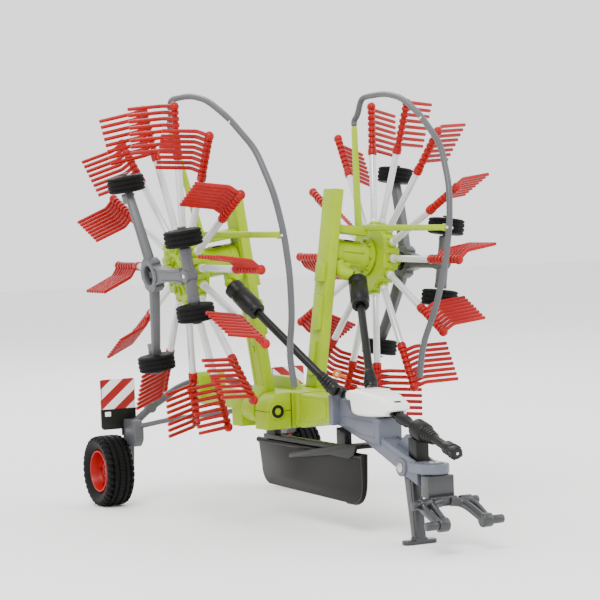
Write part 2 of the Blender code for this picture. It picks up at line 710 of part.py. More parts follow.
def rotor_housing():
    seat = BOOM_INNER + BOOM_THICK + GAP
    flange_out = -HUB_HALF - GAP
    drum = rod((0, 0, seat), (0, 0, flange_out - 0.001), DRUM_R, 16)
    flange = rod((0, 0, flange_out - FLANGE_THICK), (0, 0, flange_out), FLANGE_R, 16)
    shaft = rod((0, 0, flange_out - 0.001), (0, 0, RING_OUT + 0.001), SHAFT_R)
    boss = rod((0, 0, RING_OUT), (0, 0, RING_OUT + RING_DEPTH - 0.0010), RING_BORE - GAP, 16)
    arm = box((PIVOT_UP - 0.0040, 0.0020, seat),
              (PIVOT_UP + 0.0070, PIVOT_FORWARD - 0.0020, PIVOT_OUT + 0.0045))
    knob = ball(PIVOT, KNOB_R, 8)
    return joined(drum, flange, shaft, boss, arm, knob)


def rotor_hub():
    """Two discs on a barrel; the arms' ring is clamped between them."""
    slot = ARM_R + GAP
    bore = SHAFT_R + GAP
    return lathe([(HUB_R, -slot), (HUB_R, -HUB_HALF), (bore, -HUB_HALF), (bore, HUB_HALF + 0.004),
                  (0.0090, HUB_HALF + 0.004), (0.0120, HUB_HALF), (HUB_R - 0.0020, HUB_HALF),
                  (HUB_R - 0.0020, slot), (BARREL_R, slot), (BARREL_R, -slot)], 20)


def tine(radius):
    """One spring tine at a distance from the rotor's centre, on a comb that points up."""
    root = Vector((radius, 0, 0))
    side = Vector((0, 1, 0))
    out = Vector((0, 0, 1))
    knee = root - TINE_ROOT * (side * math.sin(TINE_ROOT_LEAN) - out * math.cos(TINE_ROOT_LEAN))
    tip = knee - TINE_REACH * (side * math.sin(TINE_LEAN) - out * math.cos(TINE_LEAN))
    return bar([root, knee, tip], TINE_R, 3)


def tine_arms():
    """Ring, arms and combs of one rotor, held together by the ring."""
    step = (COMB_END - COMB_START - COMB_R) / TINES
    places = [COMB_END - COMB_R / 2 - 0.0005 - step * i for i in range(TINES)]
    turn = Matrix.Rotation(TINE_ROOT_LEAN, 4, "X")
    spine = moved(box((COMB_START, -COMB_R, -COMB_R), (COMB_END, COMB_R, COMB_R)), turn)
    comb = joined(spine, *[tine(radius) for radius in places],
                  rod((BARREL_R + 0.003, 0, 0), (COMB_START + 0.002, 0, 0), ARM_R, 6))
    inner = BARREL_R + GAP
    half = ARM_R - GAP
    ring = lathe([(inner + 0.0050, half), (inner + 0.0050, -half), (inner, -half), (inner, half)],
                 2 * ARMS)
    combs = [moved(comb, Matrix.Rotation(2 * math.pi * (i + 0.5) / ARMS, 4, "Z"))
             for i in range(ARMS)]
    return joined(ring, *combs)


def carriage():
    middle = RING_OUT + RING_DEPTH / 2
    ring = lathe([(RING_R, RING_OUT + RING_DEPTH), (RING_R, RING_OUT),
                  (RING_BORE, RING_OUT), (RING_BORE, RING_OUT + RING_DEPTH)], 16)
    reach = FRONT_CASTER[1]
    beam = box((-0.0035, RING_R - 0.002, middle - 0.0028), (0.0035, reach, middle + 0.0028))
    half = FRONT_CASTER[0] - CASTER_WIDTH / 2 - RUN
    cross = rod((-half, reach, CASTER_OUT), (half, reach, CASTER_OUT), 0.0032, 10)
    pins = [rod((side * (half - 0.001), reach, CASTER_OUT),
                (side * (FRONT_CASTER[0] + 0.004), reach, CASTER_OUT), CASTER_PIN_R, 8)
            for side in (-1, 1)]
    for side in (-1, 1):
        up, forward = REAR_CASTER
        near = up - CASTER_WIDTH / 2 - RUN
        pins.append(bar([(side * (RING_R - 0.0015), -0.002, middle),
                         (side * 0.0300, -0.0070, middle),
                         (side * (near - 0.0100), forward, CASTER_OUT),
                         (side * near, forward, CASTER_OUT)], 0.0033))
        pins.append(rod((side * (near - 0.001), forward, CASTER_OUT),
                        (side * (up + 0.004), forward, CASTER_OUT), CASTER_PIN_R, 8))
    return joined(ring, beam, cross, *pins)


def caster():
    half = CASTER_WIDTH / 2
    bore = CASTER_PIN_R + RUN
    return lathe([(CASTER_R - 0.0012, half), (CASTER_R, half - 0.0018), (CASTER_R, -half + 0.0018),
                  (CASTER_R - 0.0012, -half), (bore, -half), (bore, half)], 14)


def guard_route():
    """The guard's line in its plane, as (up, forward)."""
    start = [(0.0900, -0.0190), (0.0938, -0.0200), (0.0972, -0.0155), (0.1065, -0.0135), (0.1097, -0.0095)]
    top = [(0.1105, 0.0190), (0.1065, 0.0420), (0.0940, 0.0680), (0.0727, 0.0980)]
    front = [(0.0451, 0.1130), (0.0212, 0.1175), (-0.0057, 0.1165), (-0.0326, 0.1100)]
    return start + top + front + [(-0.0571, 0.0981), (-0.0780, 0.0980)]


def guard():
    return bar([(up, forward, GUARD_OUT) for up, forward in guard_route()], GUARD_R)


def guard_stay():
    """Bracket on the boom with a bar up to the guard's end and a bar forward to its middle."""
    seat = BOOM_INNER + BOOM_THICK + GAP
    end_up, end_forward = guard_route()[0]
    touch = guard_route()[10]
    bracket = box((0.0140, -0.0020, seat), (0.0190, 0.0110, GUARD_OUT + STAY_THICK / 2))
    half = STAY_DEPTH / 2
    root = (0.0160, 0.0010)
    line = (Vector((end_up, end_forward)) - Vector(root)).normalized()
    side = Vector((-line.y, line.x)) * half
    top = Vector((end_up, end_forward)) - line * (GAP * 2)
    base = Vector(root)
    upright = plate([base + side, base - side, top - side, top + side], STAY_THICK,
                    Matrix.Translation((0, 0, GUARD_OUT)))
    end = touch[1] - GUARD_R - GAP
    forward_bar = box((touch[0] - 0.0040, 0.0020, GUARD_OUT - STAY_THICK / 2 + 0.0001),
                      (touch[0] - 0.0005, end, GUARD_OUT + STAY_THICK / 2 - 0.0001))
    return joined(bracket, upright, forward_bar)


def drive_tube():
    start = PIVOT + SHAFT_LINE * (KNOB_R + SOCKET_CLEAR)
    end = start + SHAFT_LINE * TUBE_LENGTH
    shell = rod(start, end, TUBE_R, 16)
    mouth = rod(start + SHAFT_LINE * (TUBE_LENGTH - ROD_HIDDEN - 0.001), end + SHAFT_LINE * 0.01,
                ROD_R + RUN, 12)
    return cut(shell, mouth)


def drive_rod():
    start = PIVOT + SHAFT_LINE * (KNOB_R + SOCKET_CLEAR + TUBE_LENGTH - ROD_HIDDEN)
    joint = rod(LOWER_JOINT - SHAFT_LINE * 0.0080, LOWER_JOINT, JOINT_R - 0.0004, 8)
    return joined(rod(start, LOWER_JOINT - SHAFT_LINE * 0.002, ROD_R), joint,
                  ball(LOWER_JOINT, JOINT_R, 8))


# ---- assembly ----

def add(name, mesh, material, origin=(0, 0, 0), parent=None):
    """Names a mesh as a part, with its origin where given and its round faces smooth."""
    origin = Vector(origin)
    mesh = moved(mesh, Matrix.Translation(-origin))
    mesh.name = name
    mesh.materials.clear()
    mesh.materials.append(material)
    mesh.shade_smooth()
    mesh.set_sharp_from_angle(angle=math.radians(35))
    obj = bpy.data.objects.new(name, mesh)
    obj.location = origin
    PARTS.objects.link(obj)
    if parent:
        bpy.context.view_layer.update()
        obj.parent = parent
        obj.matrix_parent_inverse = parent.matrix_world.inverted()
    return obj


def build_chassis(paints):
    frame = add("centre_frame", centre_frame(), paints["green"])
    fixed = {"drawbar": (drawbar, "steel_blue"), "gearbox_cover": (gearbox_cover, "white"),
             "power_input": (power_input, "black"), "axle_beam": (axle_beam, "grey"),
             "curtain_bracket": (curtain_bracket, "black"), "swath_curtain": (swath_curtain, "black"),
             "stand_pin": (stand_pin, "metal"), "hitch_pin": (hitch_pin, "metal")}
    for name, (shape, colour) in fixed.items():
        add(name, shape(), paints[colour], parent=frame)
    add("stand", stand(), paints["grey"], spot(0, STAND_AHEAD, STAND_HEIGHT), frame)
    add("hitch", hitch(), paints["grey"], spot(0, HITCH_AHEAD, HITCH_BOTTOM), frame)
    for word, side in SIDES.items():
        hub = spot(side * TRACK / 2, 0, TYRE_R)
        turn = Matrix.Translation(hub) @ Matrix.Rotation(side * math.pi / 2, 4, "Y")
        add(f"{word}_tyre", moved(tyre(), turn), paints["rubber"], hub, frame)
        add(f"{word}_rim", moved(rim(), turn), paints["red"], hub, frame)
        add(f"{word}_sign", sign(side), paints["white"], parent=frame)
    return frame


def build_side(word, side, paints, frame):
    place = MIRROR[side] @ ROTOR_FRAME
    hinge = place @ HINGE
    centre = place @ Vector((0, 0, 0))
    arm = add(f"{word}_boom", moved(boom(), place), paints["green"], hinge, frame)
    fixed = {"rotor_housing": (rotor_housing, "green"), "carriage": (carriage, "grey"),
             "guard": (guard, "grey"), "guard_stay": (guard_stay, "green")}
    for name, (shape, colour) in fixed.items():
        add(f"{word}_{name}", moved(shape(), place), paints[colour], centre, arm)
    spinner = add(f"{word}_rotor_hub", moved(rotor_hub(), place), paints["green"], centre, arm)
    add(f"{word}_tine_arms", moved(tine_arms(), place), paints["red"], centre, spinner)
    corners = {"rear_upper": REAR_CASTER, "front_upper": FRONT_CASTER,
               "front_lower": (-FRONT_CASTER[0], FRONT_CASTER[1]),
               "rear_lower": (-REAR_CASTER[0], REAR_CASTER[1])}
    for corner, (up, forward) in corners.items():
        seat = Matrix.Translation((up, forward, CASTER_OUT)) @ Matrix.Rotation(math.pi / 2, 4, "Y")
        add(f"{word}_{corner}_wheel", moved(caster(), place @ seat), paints["rubber"],
            place @ Vector((up, forward, CASTER_OUT)), arm)
    pivot = place @ PIVOT
    sleeve = add(f"{word}_drive_tube", moved(drive_tube(), place), paints["black"], pivot, arm)
    add(f"{word}_drive_rod", moved(drive_rod(), place), paints["black"], pivot, sleeve)


def main():
    paints = {"green": paint("lime_green", (0.46, 0.60, 0.03), 0.35),
              "grey": paint("grey_plastic", (0.16, 0.165, 0.175), 0.45),
              "steel_blue": paint("blue_grey_plastic", (0.21, 0.24, 0.30), 0.45),
              "white": paint("white_plastic", (0.86, 0.86, 0.85), 0.35),
              "black": paint("black_plastic", (0.025, 0.024, 0.023), 0.40),
              "rubber": paint("black_rubber", (0.022, 0.022, 0.022), 0.75),
              "red": paint("red_plastic", (0.63, 0.02, 0.013), 0.38),
              "metal": paint("zinc_metal", (0.60, 0.58, 0.54), 0.35, 1.0)}
    frame = build_chassis(paints)
    for word, side in SIDES.items():
        build_side(word, side, paints, frame)


for old in list(bpy.data.objects):
    bpy.data.objects.remove(old)
PARTS = bpy.data.collections.new("toy_rotary_hay_rake")
bpy.context.scene.collection.children.link(PARTS)
main()
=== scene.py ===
"""Toy rotary hay rake with its rotors folded up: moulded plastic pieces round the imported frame.

Lengths are in millimetres until a mesh is made. Chassis places are (across, ahead of the axle,
height). Rotor places are (up, forward, outward) from the rotor's centre with the boom folded.
"""
import math

import bmesh
import bpy
import numpy as np
from mathutils import Matrix, Vector


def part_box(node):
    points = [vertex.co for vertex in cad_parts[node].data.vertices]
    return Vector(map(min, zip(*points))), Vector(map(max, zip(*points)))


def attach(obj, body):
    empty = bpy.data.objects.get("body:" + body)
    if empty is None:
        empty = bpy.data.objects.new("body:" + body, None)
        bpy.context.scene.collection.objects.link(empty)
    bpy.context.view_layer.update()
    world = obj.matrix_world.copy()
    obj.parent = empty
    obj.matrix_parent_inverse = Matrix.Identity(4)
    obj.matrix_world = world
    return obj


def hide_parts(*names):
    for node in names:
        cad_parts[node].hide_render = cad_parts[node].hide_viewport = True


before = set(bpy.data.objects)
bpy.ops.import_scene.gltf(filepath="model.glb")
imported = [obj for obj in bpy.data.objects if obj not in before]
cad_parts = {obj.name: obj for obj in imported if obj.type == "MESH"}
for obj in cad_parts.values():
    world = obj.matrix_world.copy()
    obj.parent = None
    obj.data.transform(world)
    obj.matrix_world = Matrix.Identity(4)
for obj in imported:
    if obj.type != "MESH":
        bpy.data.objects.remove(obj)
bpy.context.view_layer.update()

MM = 0.001
SIDES = {"left": -1, "right": 1}
AXLE_Y = (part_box("left_tyre")[0][1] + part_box("left_tyre")[1][1]) / 2 / MM
LEAN = math.radians(8.27)  # how far a folded boom leans out from upright
ROTOR = (71.7, 131.0, 170.0)  # centre of the right rotor, in chassis places
ARMS, TINES = 14, 8  # arms of a rotor, tines of an arm
COMB_START, COMB_END = 74.5, 110.0  # radii between which an arm carries its tines
GUARD_OUT = -15.0  # the guard bar's middle, outward of the rotor's centre
BAR_FORWARD, BAR_OUT = 52.5, 22.5  # the carriage's front cross bar, in rotor places
REAR_SPINDLE = -21.0  # the rear spindles, forward of the rotor's centre
PIN_ACROSS, PIN_HEIGHT = 25.0, 74.0  # the fold pins
FRAME_HALF, EAR_FRONT = 32.3, 164.0  # the frame's half width and its front ears' face
ROD_EYE = (13.7, 221.5, 91.5)  # where the right drive rod meets its stub
SHAFT_START, SHAFT_TIP = np.array([0, 260.0, 81.4]), np.array([0, 346.0, 59.0])
SHAFT_LENGTH = np.linalg.norm(SHAFT_TIP - SHAFT_START)
SHAFT_LINE = (SHAFT_TIP - SHAFT_START) / SHAFT_LENGTH
STAND_PIN = (292, 47)  # the pin that the leg turns on: ahead, height
SWIVEL = 318  # the tow fork's upright pin, ahead of the axle
WHEEL_RADIUS = 25.0  # a road wheel's, and so its axle's height
BOARD = (55.1, 81.3)  # inner and outer edge of a warning board
CURTAIN = -9.0  # middle of the curtain's thickness, across


# ---- places ----

def chassis():
    """Matrix from (across, ahead, height) to world millimetres."""
    return np.array([[1, 0, 0, 0], [0, -1, 0, AXLE_Y], [0, 0, 1, 0], [0, 0, 0, 1.0]])


def rotor(side):
    """Matrix from a rotor's (up, forward, outward) to world millimetres; side mirrors it."""
    sine, cosine = math.sin(LEAN), math.cos(LEAN)
    across, ahead, height = ROTOR
    return np.array([[side * sine, 0, side * cosine, side * across], [0, -1, 0, AXLE_Y - ahead],
                     [cosine, 0, -sine, height], [0, 0, 0, 1.0]])


def turn(angle):
    """Matrix that turns by an angle about Z."""
    sine, cosine = math.sin(angle), math.cos(angle)
    return np.array([[cosine, -sine, 0, 0], [sine, cosine, 0, 0], [0, 0, 1, 0], [0, 0, 0, 1.0]])


def shift(x, y, z):
    """Matrix that moves by x, y and z."""
    matrix = np.eye(4)
    matrix[:3, 3] = x, y, z
    return matrix


def facing(origin, direction):
    """Matrix that stands a piece made along Z on an origin, pointing in a direction."""
    line = np.array(direction, float)
    line /= np.linalg.norm(line)
    helper = np.eye(3)[np.argmin(np.abs(line))]
    side = np.cross(helper, line)
    side /= np.linalg.norm(side)
    matrix = np.eye(4)
    matrix[:3] = np.column_stack([side, np.cross(line, side), line, origin])
    return matrix


def placed(part, matrix):
    """A part, which is its points, its quads and its end faces, with its points moved."""
    points, quads, ends = part
    return points @ matrix[:3, :3].T + matrix[:3, 3], quads, ends


def gathered(parts):
    """Several parts as one, each one's corner numbers moved on past the parts before it."""
    start, points, quads, ends = 0, [], [], []
    for part_points, part_quads, part_ends in parts:
        points.append(part_points)
        quads.append(part_quads + start)
        ends += [face + start for face in part_ends]
        start += len(part_points)
    return np.concatenate(points), np.concatenate(quads), ends


# ---- surfaces ----

def surface(grid, loop=False):
    """Rows of closed rings joined to their neighbours; the end rings are capped, or loop round."""
    rows, columns = grid.shape[:2]
    row = np.arange(rows if loop else rows - 1)[:, None]
    column = np.arange(columns)[None, :]
    after, beside = (row + 1) % rows, (column + 1) % columns
    quads = np.stack([row * columns + column, row * columns + beside, after * columns + beside,
                      after * columns + column], -1).reshape(-1, 4)
    ring = np.arange(columns)
    ends = [] if loop else [ring[::-1], (rows - 1) * columns + ring]
    return grid.reshape(-1, 3), quads, ends


def turned(outline, steps=40, loop=False):
    """Each (radius, height) of the outline swept round Z: x = r cos a, y = r sin a, z = height."""
    a = np.arange(steps) * 2 * math.pi / steps
    r, z = np.array(outline, float).T
    r = np.maximum(r, 0.02)[:, None]
    grid = np.stack([r * np.cos(a), r * np.sin(a), z[:, None] + 0 * a], -1)
    return surface(grid, loop)


def disc(radius, low, high, edge=0.4, steps=32):
    """A round plate or pin with quarter-round rims.

    Along the lower rim the radius is radius - edge + edge sin q, at low + edge - edge cos q.
    """
    q = np.linspace(0, math.pi / 2, 4)
    r = radius - edge + edge * np.sin(q)
    z = low + edge - edge * np.cos(q)
    return turned(list(zip(r, z)) + list(zip(r[::-1], high + low - z[::-1])), steps)


def dome(radius, height, steps=24):
    """A ball or its squashed form: rings of radius sin t at -height cos t, short of the poles."""
    pole = 0.04
    t = np.linspace(pole, math.pi - pole, max(8, steps // 2))
    return turned(list(zip(radius * np.sin(t), -height * np.cos(t))), steps)


def bent(points, radius, steps=5, closed=False):
    """Corners replaced by quadratic curves that start and end radius away from them.

    The curve is (1 - t)^2 start + 2 t (1 - t) corner + t^2 stop. It takes at most 0.48 of a side,
    so that neighbouring curves never meet.
    """
    corners = np.array(points, float)
    last = len(corners) - 1
    t = np.linspace(0, 1, steps)[:, None]
    out = []
    for i, here in enumerate(corners):
        if not closed and i in (0, last):
            out.append(corners[i:i + 1])
            continue
        back, onward = corners[i - 1] - here, corners[(i + 1) % len(corners)] - here
        back_length, onward_length = np.linalg.norm(back), np.linalg.norm(onward)
        start = here + back / back_length * min(radius, back_length * 0.48)
        stop = here + onward / onward_length * min(radius, onward_length * 0.48)
        out.append((1 - t) ** 2 * start + 2 * t * (1 - t) * here + t ** 2 * stop)
    return np.concatenate(out)


def tube(path, radius, around=12, bend=4.0, squash=1.0, power=2.0):
    """A ring carried along a path, square to it, in the path's own plane.

    radius is one number or one for each end; squash flattens the ring across the plane, and a
    power above 2 squares it: |x|^power + |y|^power = 1.
    """
    line = bent(path, bend) if len(path) > 2 and bend else np.array(path, float)
    along = np.gradient(line, axis=0)
    along /= np.linalg.norm(along, axis=1)[:, None]
    flat = np.linalg.svd(line - line.mean(0))[2][-1]
    across = np.cross(along, flat)
    across /= np.linalg.norm(across, axis=1)[:, None]
    third = np.cross(along, across)
    length = np.concatenate([[0], np.cumsum(np.linalg.norm(np.diff(line, axis=0), axis=1))])
    first, last = (radius, radius) if np.isscalar(radius) else radius
    r = first + (last - first) * length / length[-1]
    a = (np.arange(around) + 0.5) * 2 * math.pi / around
    x, y = np.cos(a), np.sin(a)
    stretch = (np.abs(x) ** power + np.abs(y) ** power) ** (-1 / power)
    ring = (across[:, None] * (x * stretch)[None, :, None]
            + third[:, None] * (y * stretch * squash)[None, :, None])
    body = line[:, None] + ring * r[:, None, None]
    lip = np.minimum(0.3, 0.25 * r)
    start = line[None, 0, None] + ring[:1] * (r[0] - lip[0]) * 0.98
    stop = line[None, -1, None] + ring[-1:] * (r[-1] - lip[-1]) * 0.98
    body[0] += along[0] * lip[0]
    body[-1] -= along[-1] * lip[-1]
    return surface(np.concatenate([start, body, stop]))


def inset(outline, distance):
    """A closed outline with every corner moved inwards along the middle of its two normals."""
    before = outline - np.roll(outline, 1, 0)
    after = np.roll(outline, -1, 0) - outline
    first, second = [np.stack([-d[:, 1], d[:, 0]], 1) / np.linalg.norm(d, axis=1)[:, None]
                     for d in (before, after)]
    share = np.maximum(1 + (first * second).sum(1), 0.4)[:, None]
    return outline + (first + second) / share * distance


def slab(outline, low, high, edge=0.5, corner=0.0):
    """A flat outline made thick along Z, with its corners rounded and its rims quarter-round."""
    base = np.array(outline, float)
    x, y = base.T
    if (x * np.roll(y, -1) - y * np.roll(x, -1)).sum() < 0:
        base = base[::-1]
    if corner:
        base = bent(base, corner, 4, True)
    edge = min(edge, (high - low) * 0.45)
    q = np.linspace(0, math.pi / 2, 4)
    rings = []
    for lift, inward in zip(edge * (1 - np.cos(q)), edge * (1 - np.sin(q))):
        rings.append((low + lift, inset(base, inward)))
    rings += [(high + low - z, shape) for z, shape in reversed(rings)]
    grid = np.stack([np.column_stack([shape, np.full(len(shape), z)]) for z, shape in rings])
    return surface(grid)


def block(low, high, edge=0.5, corner=0.8):
    """A box with rounded rims between two corners."""
    (x0, y0, z0), (x1, y1, z1) = low, high
    return slab([(x0, y0), (x1, y0), (x1, y1), (x0, y1)], z0, z1, edge, corner)


# What a slab's own x, y and thickness become on the chassis:
# SIDEWAYS makes them ahead, up and across; UPRIGHT across, up and ahead; SWAPPED ahead, across, up.
SIDEWAYS = np.array([[0, 0, 1, 0], [1, 0, 0, 0], [0, 1, 0, 0], [0, 0, 0, 1.0]])
UPRIGHT = np.array([[1, 0, 0, 0], [0, 0, 1, 0], [0, 1, 0, 0], [0, 0, 0, 1.0]])
SWAPPED = np.array([[0, 1, 0, 0], [1, 0, 0, 0], [0, 0, 1, 0], [0, 0, 0, 1.0]])


def profile(outline, low, high, edge=0.5, corner=0.0):
    """A slab whose outline is (ahead, height) and whose thickness runs across the chassis."""
    return placed(slab(outline, low, high, edge, corner), SIDEWAYS)


def pin(start, end, radius, edge=0.3, steps=20):
    """A round bar between two points with softened ends."""
    start, end = np.array(start, float), np.array(end, float)
    return placed(disc(radius, 0, np.linalg.norm(end - start), edge, steps),
                  facing(start, end - start))


# ---- materials ----

def linear(code):
    """sRGB hex to linear red, green, blue and 1: ((c + 0.055) / 1.055)^2.4 above 0.04045."""
    channels = [int(code[i:i + 2], 16) / 255 for i in (1, 3, 5)]
    return (*[c / 12.92 if c <= 0.04045 else ((c + 0.055) / 1.055) ** 2.4 for c in channels], 1.0)


def add(tree, kind, settings=None, links=None):
    """Adds one node: settings are its own values or socket values, links are sockets to sockets."""
    node = tree.nodes.new(kind)
    for key, value in (settings or {}).items():
        if isinstance(key, int) or key in node.inputs:
            node.inputs[key].default_value = value
        else:
            setattr(node, key, value)
    for key, source in (links or {}).items():
        tree.links.new(source, node.inputs[key])
    return node


def moulded(name, colour, roughness=0.38, metallic=0.0, shade=0.10, grain=0.55, bump=0.05,
            coat=0.0, spots=0.0, specular=0.5):
    """Injection-moulded or turned finish.

    The colour drifts over about 25 mm, as the plastic's flow does. The skin's grain breaks the
    gloss; the real grain is under 0.1 mm, and grain is the coarser size in millimetres at which
    it shows. spots adds pearl flecks, drawn at 0.35 mm for the same reason.
    """
    flow_size, fleck_size, relief_depth = 25, 0.35, 0.3
    material = bpy.data.materials.new(name)
    material.use_nodes = True
    tree = material.node_tree
    shader = tree.nodes["Principled BSDF"]
    shader.inputs["Metallic"].default_value = metallic
    shader.inputs["Specular IOR Level"].default_value = specular
    shader.inputs["Coat Weight"].default_value = coat
    shader.inputs["Coat Roughness"].default_value = 0.2
    place = add(tree, "ShaderNodeTexCoord").outputs["Object"]
    flow = add(tree, "ShaderNodeTexNoise",
               {"Scale": 1 / (flow_size * MM), "Detail": 3.0, "Roughness": 0.6}, {"Vector": place})
    skin = add(tree, "ShaderNodeTexNoise", {"Scale": 1 / (grain * MM), "Detail": 2.0},
               {"Vector": place})
    base = np.array(linear(colour))
    dark, light = base * (1 - shade), np.minimum(base * (1 + shade), 1)
    dark[3] = light[3] = 1
    ramp = add(tree, "ShaderNodeValToRGB", {}, {"Fac": flow.outputs["Fac"]})
    ramp.color_ramp.elements[0].position, ramp.color_ramp.elements[1].position = 0.3, 0.7
    ramp.color_ramp.elements[0].color, ramp.color_ramp.elements[1].color = dark, light
    colour_out = ramp.outputs["Color"]
    if spots:
        fleck = add(tree, "ShaderNodeTexVoronoi", {"Scale": 1 / (fleck_size * MM)},
                    {"Vector": place})
        mask = add(tree, "ShaderNodeMapRange", {"From Min": 0.25, "From Max": 0.05, "To Max": spots},
                   {"Value": fleck.outputs["Distance"]})
        mix = add(tree, "ShaderNodeMix", {"data_type": "RGBA", 7: (1, 1, 1, 1)},
                  {0: mask.outputs["Result"], 6: colour_out})
        colour_out = mix.outputs[2]
    tree.links.new(colour_out, shader.inputs["Base Color"])
    gloss = add(tree, "ShaderNodeMapRange",
                {"To Min": roughness - 0.06, "To Max": roughness + 0.08},
                {"Value": skin.outputs["Fac"]})
    tree.links.new(gloss.outputs["Result"], shader.inputs["Roughness"])
    relief = add(tree, "ShaderNodeBump", {"Strength": bump, "Distance": relief_depth * MM},
                 {"Height": skin.outputs["Fac"]})
    tree.links.new(relief.outputs["Normal"], shader.inputs["Normal"])
    return material


def striped(name, side):
    """Printed film on white plastic: flat red bands with clean edges under an even gloss.

    With t = slope x side + z, a point is red where the fraction of t / period + offset is over a
    half, so that the bands of the two boards mirror each other.
    """
    slope, period, offset = 0.82, 14.8, 0.4
    material = moulded(name, "#E4E3E6", 0.34, shade=0.02)
    tree = material.node_tree
    shader = tree.nodes["Principled BSDF"]
    white = shader.inputs["Base Color"].links[0].from_socket
    place = add(tree, "ShaderNodeTexCoord").outputs["Object"]
    parts = add(tree, "ShaderNodeSeparateXYZ", {}, {"Vector": place})
    total = add(tree, "ShaderNodeMath", {"operation": "MULTIPLY_ADD", 1: slope * side},
                {0: parts.outputs["X"], 2: parts.outputs["Z"]})
    count = add(tree, "ShaderNodeMath",
                {"operation": "MULTIPLY_ADD", 1: 1 / (period * MM), 2: offset},
                {0: total.outputs[0]})
    turns = add(tree, "ShaderNodeMath", {"operation": "FRACT"}, {0: count.outputs[0]})
    band = add(tree, "ShaderNodeMath", {"operation": "GREATER_THAN", 1: 0.5}, {0: turns.outputs[0]})
    mix = add(tree, "ShaderNodeMix", {"data_type": "RGBA", 7: linear("#8E0006")},
              {0: band.outputs[0], 6: white})
    tree.links.new(mix.outputs[2], shader.inputs["Base Color"])
    return material


# ABS from a polished mould: an even lime, with soft highlights along every edge.
LIME = moulded("lime_abs_moulded", "#92AC00", 0.40, shade=0.09, specular=0.2)
# The same plastic, darkened as painted shade in the deep grooves where two moulded halves meet: thin
# olive lines.
GROOVE_SHADE = moulded("lime_painted_groove_shade", "#3A4300", 0.6, specular=0.1)
# Red ABS from a polished mould: deep in colour, with a thin bright line along each tine.
RED = moulded("red_abs_moulded", "#960300", 0.36, shade=0.12, specular=0.25)
# Plastic with metal powder in it: silvery white, with tiny flecks.
PEARL = moulded("silver_white_plastic_tube", "#D2D2D5", 0.30, 0.35, shade=0.05, spots=0.3)
# Grey ABS from a slightly etched mould: broad, soft highlights.
GREY = moulded("grey_abs_moulded", "#4A4B4E", 0.40, shade=0.08, specular=0.4)
# Dark grey ABS from a polished mould: nearly black, with sharp highlights on its edges.
DARK_GREY = moulded("dark_grey_abs_moulded", "#26272A", 0.24, shade=0.08, specular=0.6)
# Blue-grey ABS: a cool middle grey, with soft highlights.
SLATE = moulded("blue_grey_abs_moulded", "#5A5E69", 0.36, shade=0.07, specular=0.4)
# White ABS from a mirror-bright mould: bright, with a second, sharper sheen on top.
WHITE = moulded("white_abs_gloss", "#F3F2F0", 0.28, shade=0.02, coat=0.3)
# Black ABS: almost no colour of its own, so that its highlights show its shape.
BLACK = moulded("black_abs_moulded", "#0A0A09", 0.36, shade=0.15, specular=0.28)
# Dark brown vinyl moulded as a plate: a warm black with a slightly uneven satin skin.
FILM = moulded("dark_brown_soft_curtain", "#080504", 0.30, shade=0.2, grain=0.9, bump=0.1,
               specular=0.15)
# Moulded rubber: a matt black that hardly shines, and a coarse grain.
RUBBER = moulded("black_rubber_tread", "#060606", 0.58, shade=0.2, grain=0.35, bump=0.25,
                 specular=0.15)
# Steel, turned and zinc plated: a pale metal that mirrors its surroundings, a little blurred.
ZINC = moulded("zinc_plated_steel_pin", "#C4BFB6", 0.30, 1.0, shade=0.08)
# Orange ABS: a small warm spot with a soft highlight.
ORANGE = moulded("orange_abs_cap", "#E8701C", 0.38)


def piece(name, parts, material, body, replaces=()):
    """One mesh from its parts, faces outwards, smooth but for edges sharper than 38 degrees."""
    points, quads, ends = gathered(parts)
    mesh = bpy.data.meshes.new(name)
    mesh.from_pydata((points * MM).tolist(), [], quads.tolist() + [e.tolist() for e in ends])
    bm = bmesh.new()
    bm.from_mesh(mesh)
    bmesh.ops.recalc_face_normals(bm, faces=bm.faces)
    bm.to_mesh(mesh)
    bm.free()
    mesh.shade_smooth()
    mesh.set_sharp_from_angle(angle=math.radians(38))
    mesh.materials.append(material)
    obj = bpy.data.objects.new(name, mesh)
    bpy.context.scene.collection.objects.link(obj)
    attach(obj, body)
    if replaces:
        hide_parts(*replaces)


# ---- rotors ----

def tine(radius):
    """Round spring tine, bent out from its boss and then nearly straight, thinner at its tip."""
    steep, shallow = math.radians(50), math.radians(17)
    knee = np.array([0, -8.5 * math.sin(steep), 8.5 * math.cos(steep)])
    tip = knee + np.array([0, -22.5 * math.sin(shallow), 22.5 * math.cos(shallow)])
    path = np.array([[0, 0, 0], knee, tip]) + (radius, 0, 0)
    return tube(path, (1.35, 1.2), 8, 1.6)


def comb():
    """Eight bosses on a bar at an arm's end, each with its tine."""
    step = (COMB_END - COMB_START - 2.2) / TINES
    out = [pin((74.0, 0, 0), (109.6, 0, 0), 1.9, 0.4, 12)]
    for i in range(TINES):
        radius = COMB_END - 1.6 - step * i
        out.append(placed(disc(2.75, -1.3, 1.3, 0.5, 16), facing((radius, 0, 0), (1, 0, 0))))
        out.append(tine(radius))
    out.append(placed(disc(3.1, -2.4, 2.2, 0.6, 16), facing((75.6, 0, 0), (1, 0, 0))))
    out.append(placed(dome(3.3, 3.0, 18), shift(108.2, 0, 0)))
    return gathered(out)


def spread(part, count=ARMS, offset=0.5):
    """Copies of a part round the rotor's axis."""
    return [placed(part, turn(2 * math.pi * (i + offset) / count)) for i in range(count)]


